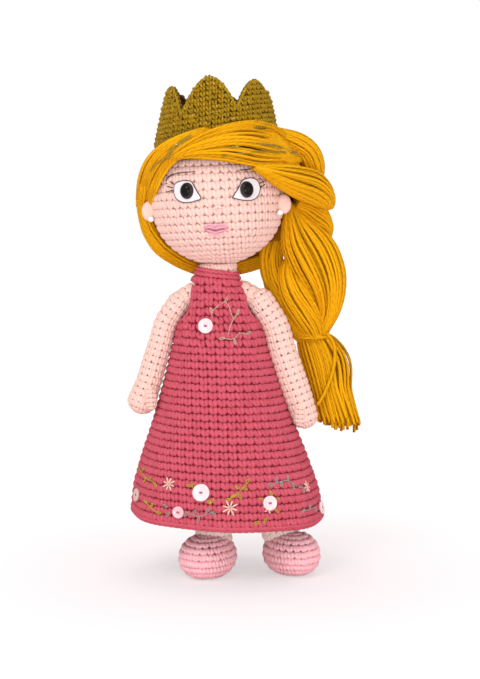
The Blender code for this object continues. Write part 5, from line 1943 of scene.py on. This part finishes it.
@dataclass
class Studio:
    """A white floor and backdrop, and soft lamps."""

    lamps: tuple[tuple[str, Row, Row, float, float], ...] = (
        ("key", (-0.7, -1.3, 1.5), (0, 0, 0.15), 0.85, 12.5),
        ("fill", (1.1, -1.3, 0.35), (0, 0, 0.12), 1.2, 5.2),
        ("top", (0.1, 0.3, 1.8), (0, 0, 0.1), 1.2, 5.0),
        ("front", (-0.2, -1.7, 0.2), (0, 0, 0.07), 1.0, 3.5),
        ("spark", (0.02, -1.3, 0.42), (0, 0, 0.23), 0.06, 0.4),
        ("low", (0.0, -1.2, 0.055), (0, 0, 0.03), 0.1, 3.0),
    )

    def build(self) -> None:
        """Makes the floor, the world and the lamps."""
        self.floor()
        self.world()
        for name, place, aim, size, power in self.lamps:
            data = bpy.data.lights.new(name, "AREA")
            data.size, data.energy = size, power
            lamp = placed(name, data)
            lamp.location = place
            lamp.rotation_euler = (Vector(aim) - Vector(place)).to_track_quat("-Z", "Y").to_euler()
        bpy.context.scene.view_settings.view_transform = "Standard"

    def floor(self) -> None:
        """Makes the floor, which shows white away from the shadow."""
        shape = bmesh.new()
        bmesh.ops.create_grid(shape, x_segments=1, y_segments=1, size=6)
        made = placed("floor", mesh_of(shape, "floor"))
        board = Board("white paper")
        # Painted light: the paper's pink tint stands for pink light bounced from the dress into the doll's shadow;
        # the paper itself is white.
        board.finish(Base_Color=(0.90, 0.78, 0.81), Roughness=1.0, Specular_IOR_Level=0.0)
        glow = board.node("ShaderNodeEmission", {}, {"Color": (1.0, 1.0, 1.0), "Strength": 1.08})
        path = board.node("ShaderNodeLightPath", {}, {}, out="Is Camera Ray")
        away = board.node("ShaderNodeVectorMath", {"operation": "LENGTH"}, {0: board.place()}, out="Value")
        share = away.above(0.07, 0.3) * 0.52 + 0.48
        paper = Wire(board, board.shader.outputs[0])
        blend = board.node("ShaderNodeMixShader", {}, {0: path * share, 1: paper, 2: glow})
        board.join(board.tree.nodes["Material Output"].inputs[0], blend)
        made.data.materials.append(board.material)

    def world(self) -> None:
        """Makes the world white to the camera and a soft light to the doll."""
        world = bpy.data.worlds.new("studio")
        bpy.context.scene.world = world
        world.use_nodes = True
        tree = world.node_tree
        tree.nodes.clear()
        path = tree.nodes.new("ShaderNodeLightPath")
        blend = tree.nodes.new("ShaderNodeMixShader")
        tree.links.new(path.outputs["Is Camera Ray"], blend.inputs[0])
        for number, colour, strength in ((1, (1.0, 0.985, 0.97, 1), 0.72), (2, (1.0, 1.0, 1.0, 1), 1.0)):
            sky = tree.nodes.new("ShaderNodeBackground")
            sky.inputs[0].default_value, sky.inputs[1].default_value = colour, strength
            tree.links.new(sky.outputs[0], blend.inputs[number])
        tree.links.new(blend.outputs[0], tree.nodes.new("ShaderNodeOutputWorld").inputs[0])


def main() -> None:
    """Builds the studio and the doll."""
    logging.basicConfig(level=logging.INFO, format="%(name)s: %(message)s")
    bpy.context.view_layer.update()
    SIGHT.camera()
    Studio().build()
    Figure().build()
    Head().build()
    Dress().build()
    Hair().build()
    Crown().build()
    for side in Side:
        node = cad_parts[side.name.lower() + "_eye_washer"]
        node.data.materials.clear()
        node.data.materials.append(Finish.WASHER.material())
    bpy.context.view_layer.update()


if __name__ == "__main__":
    main()
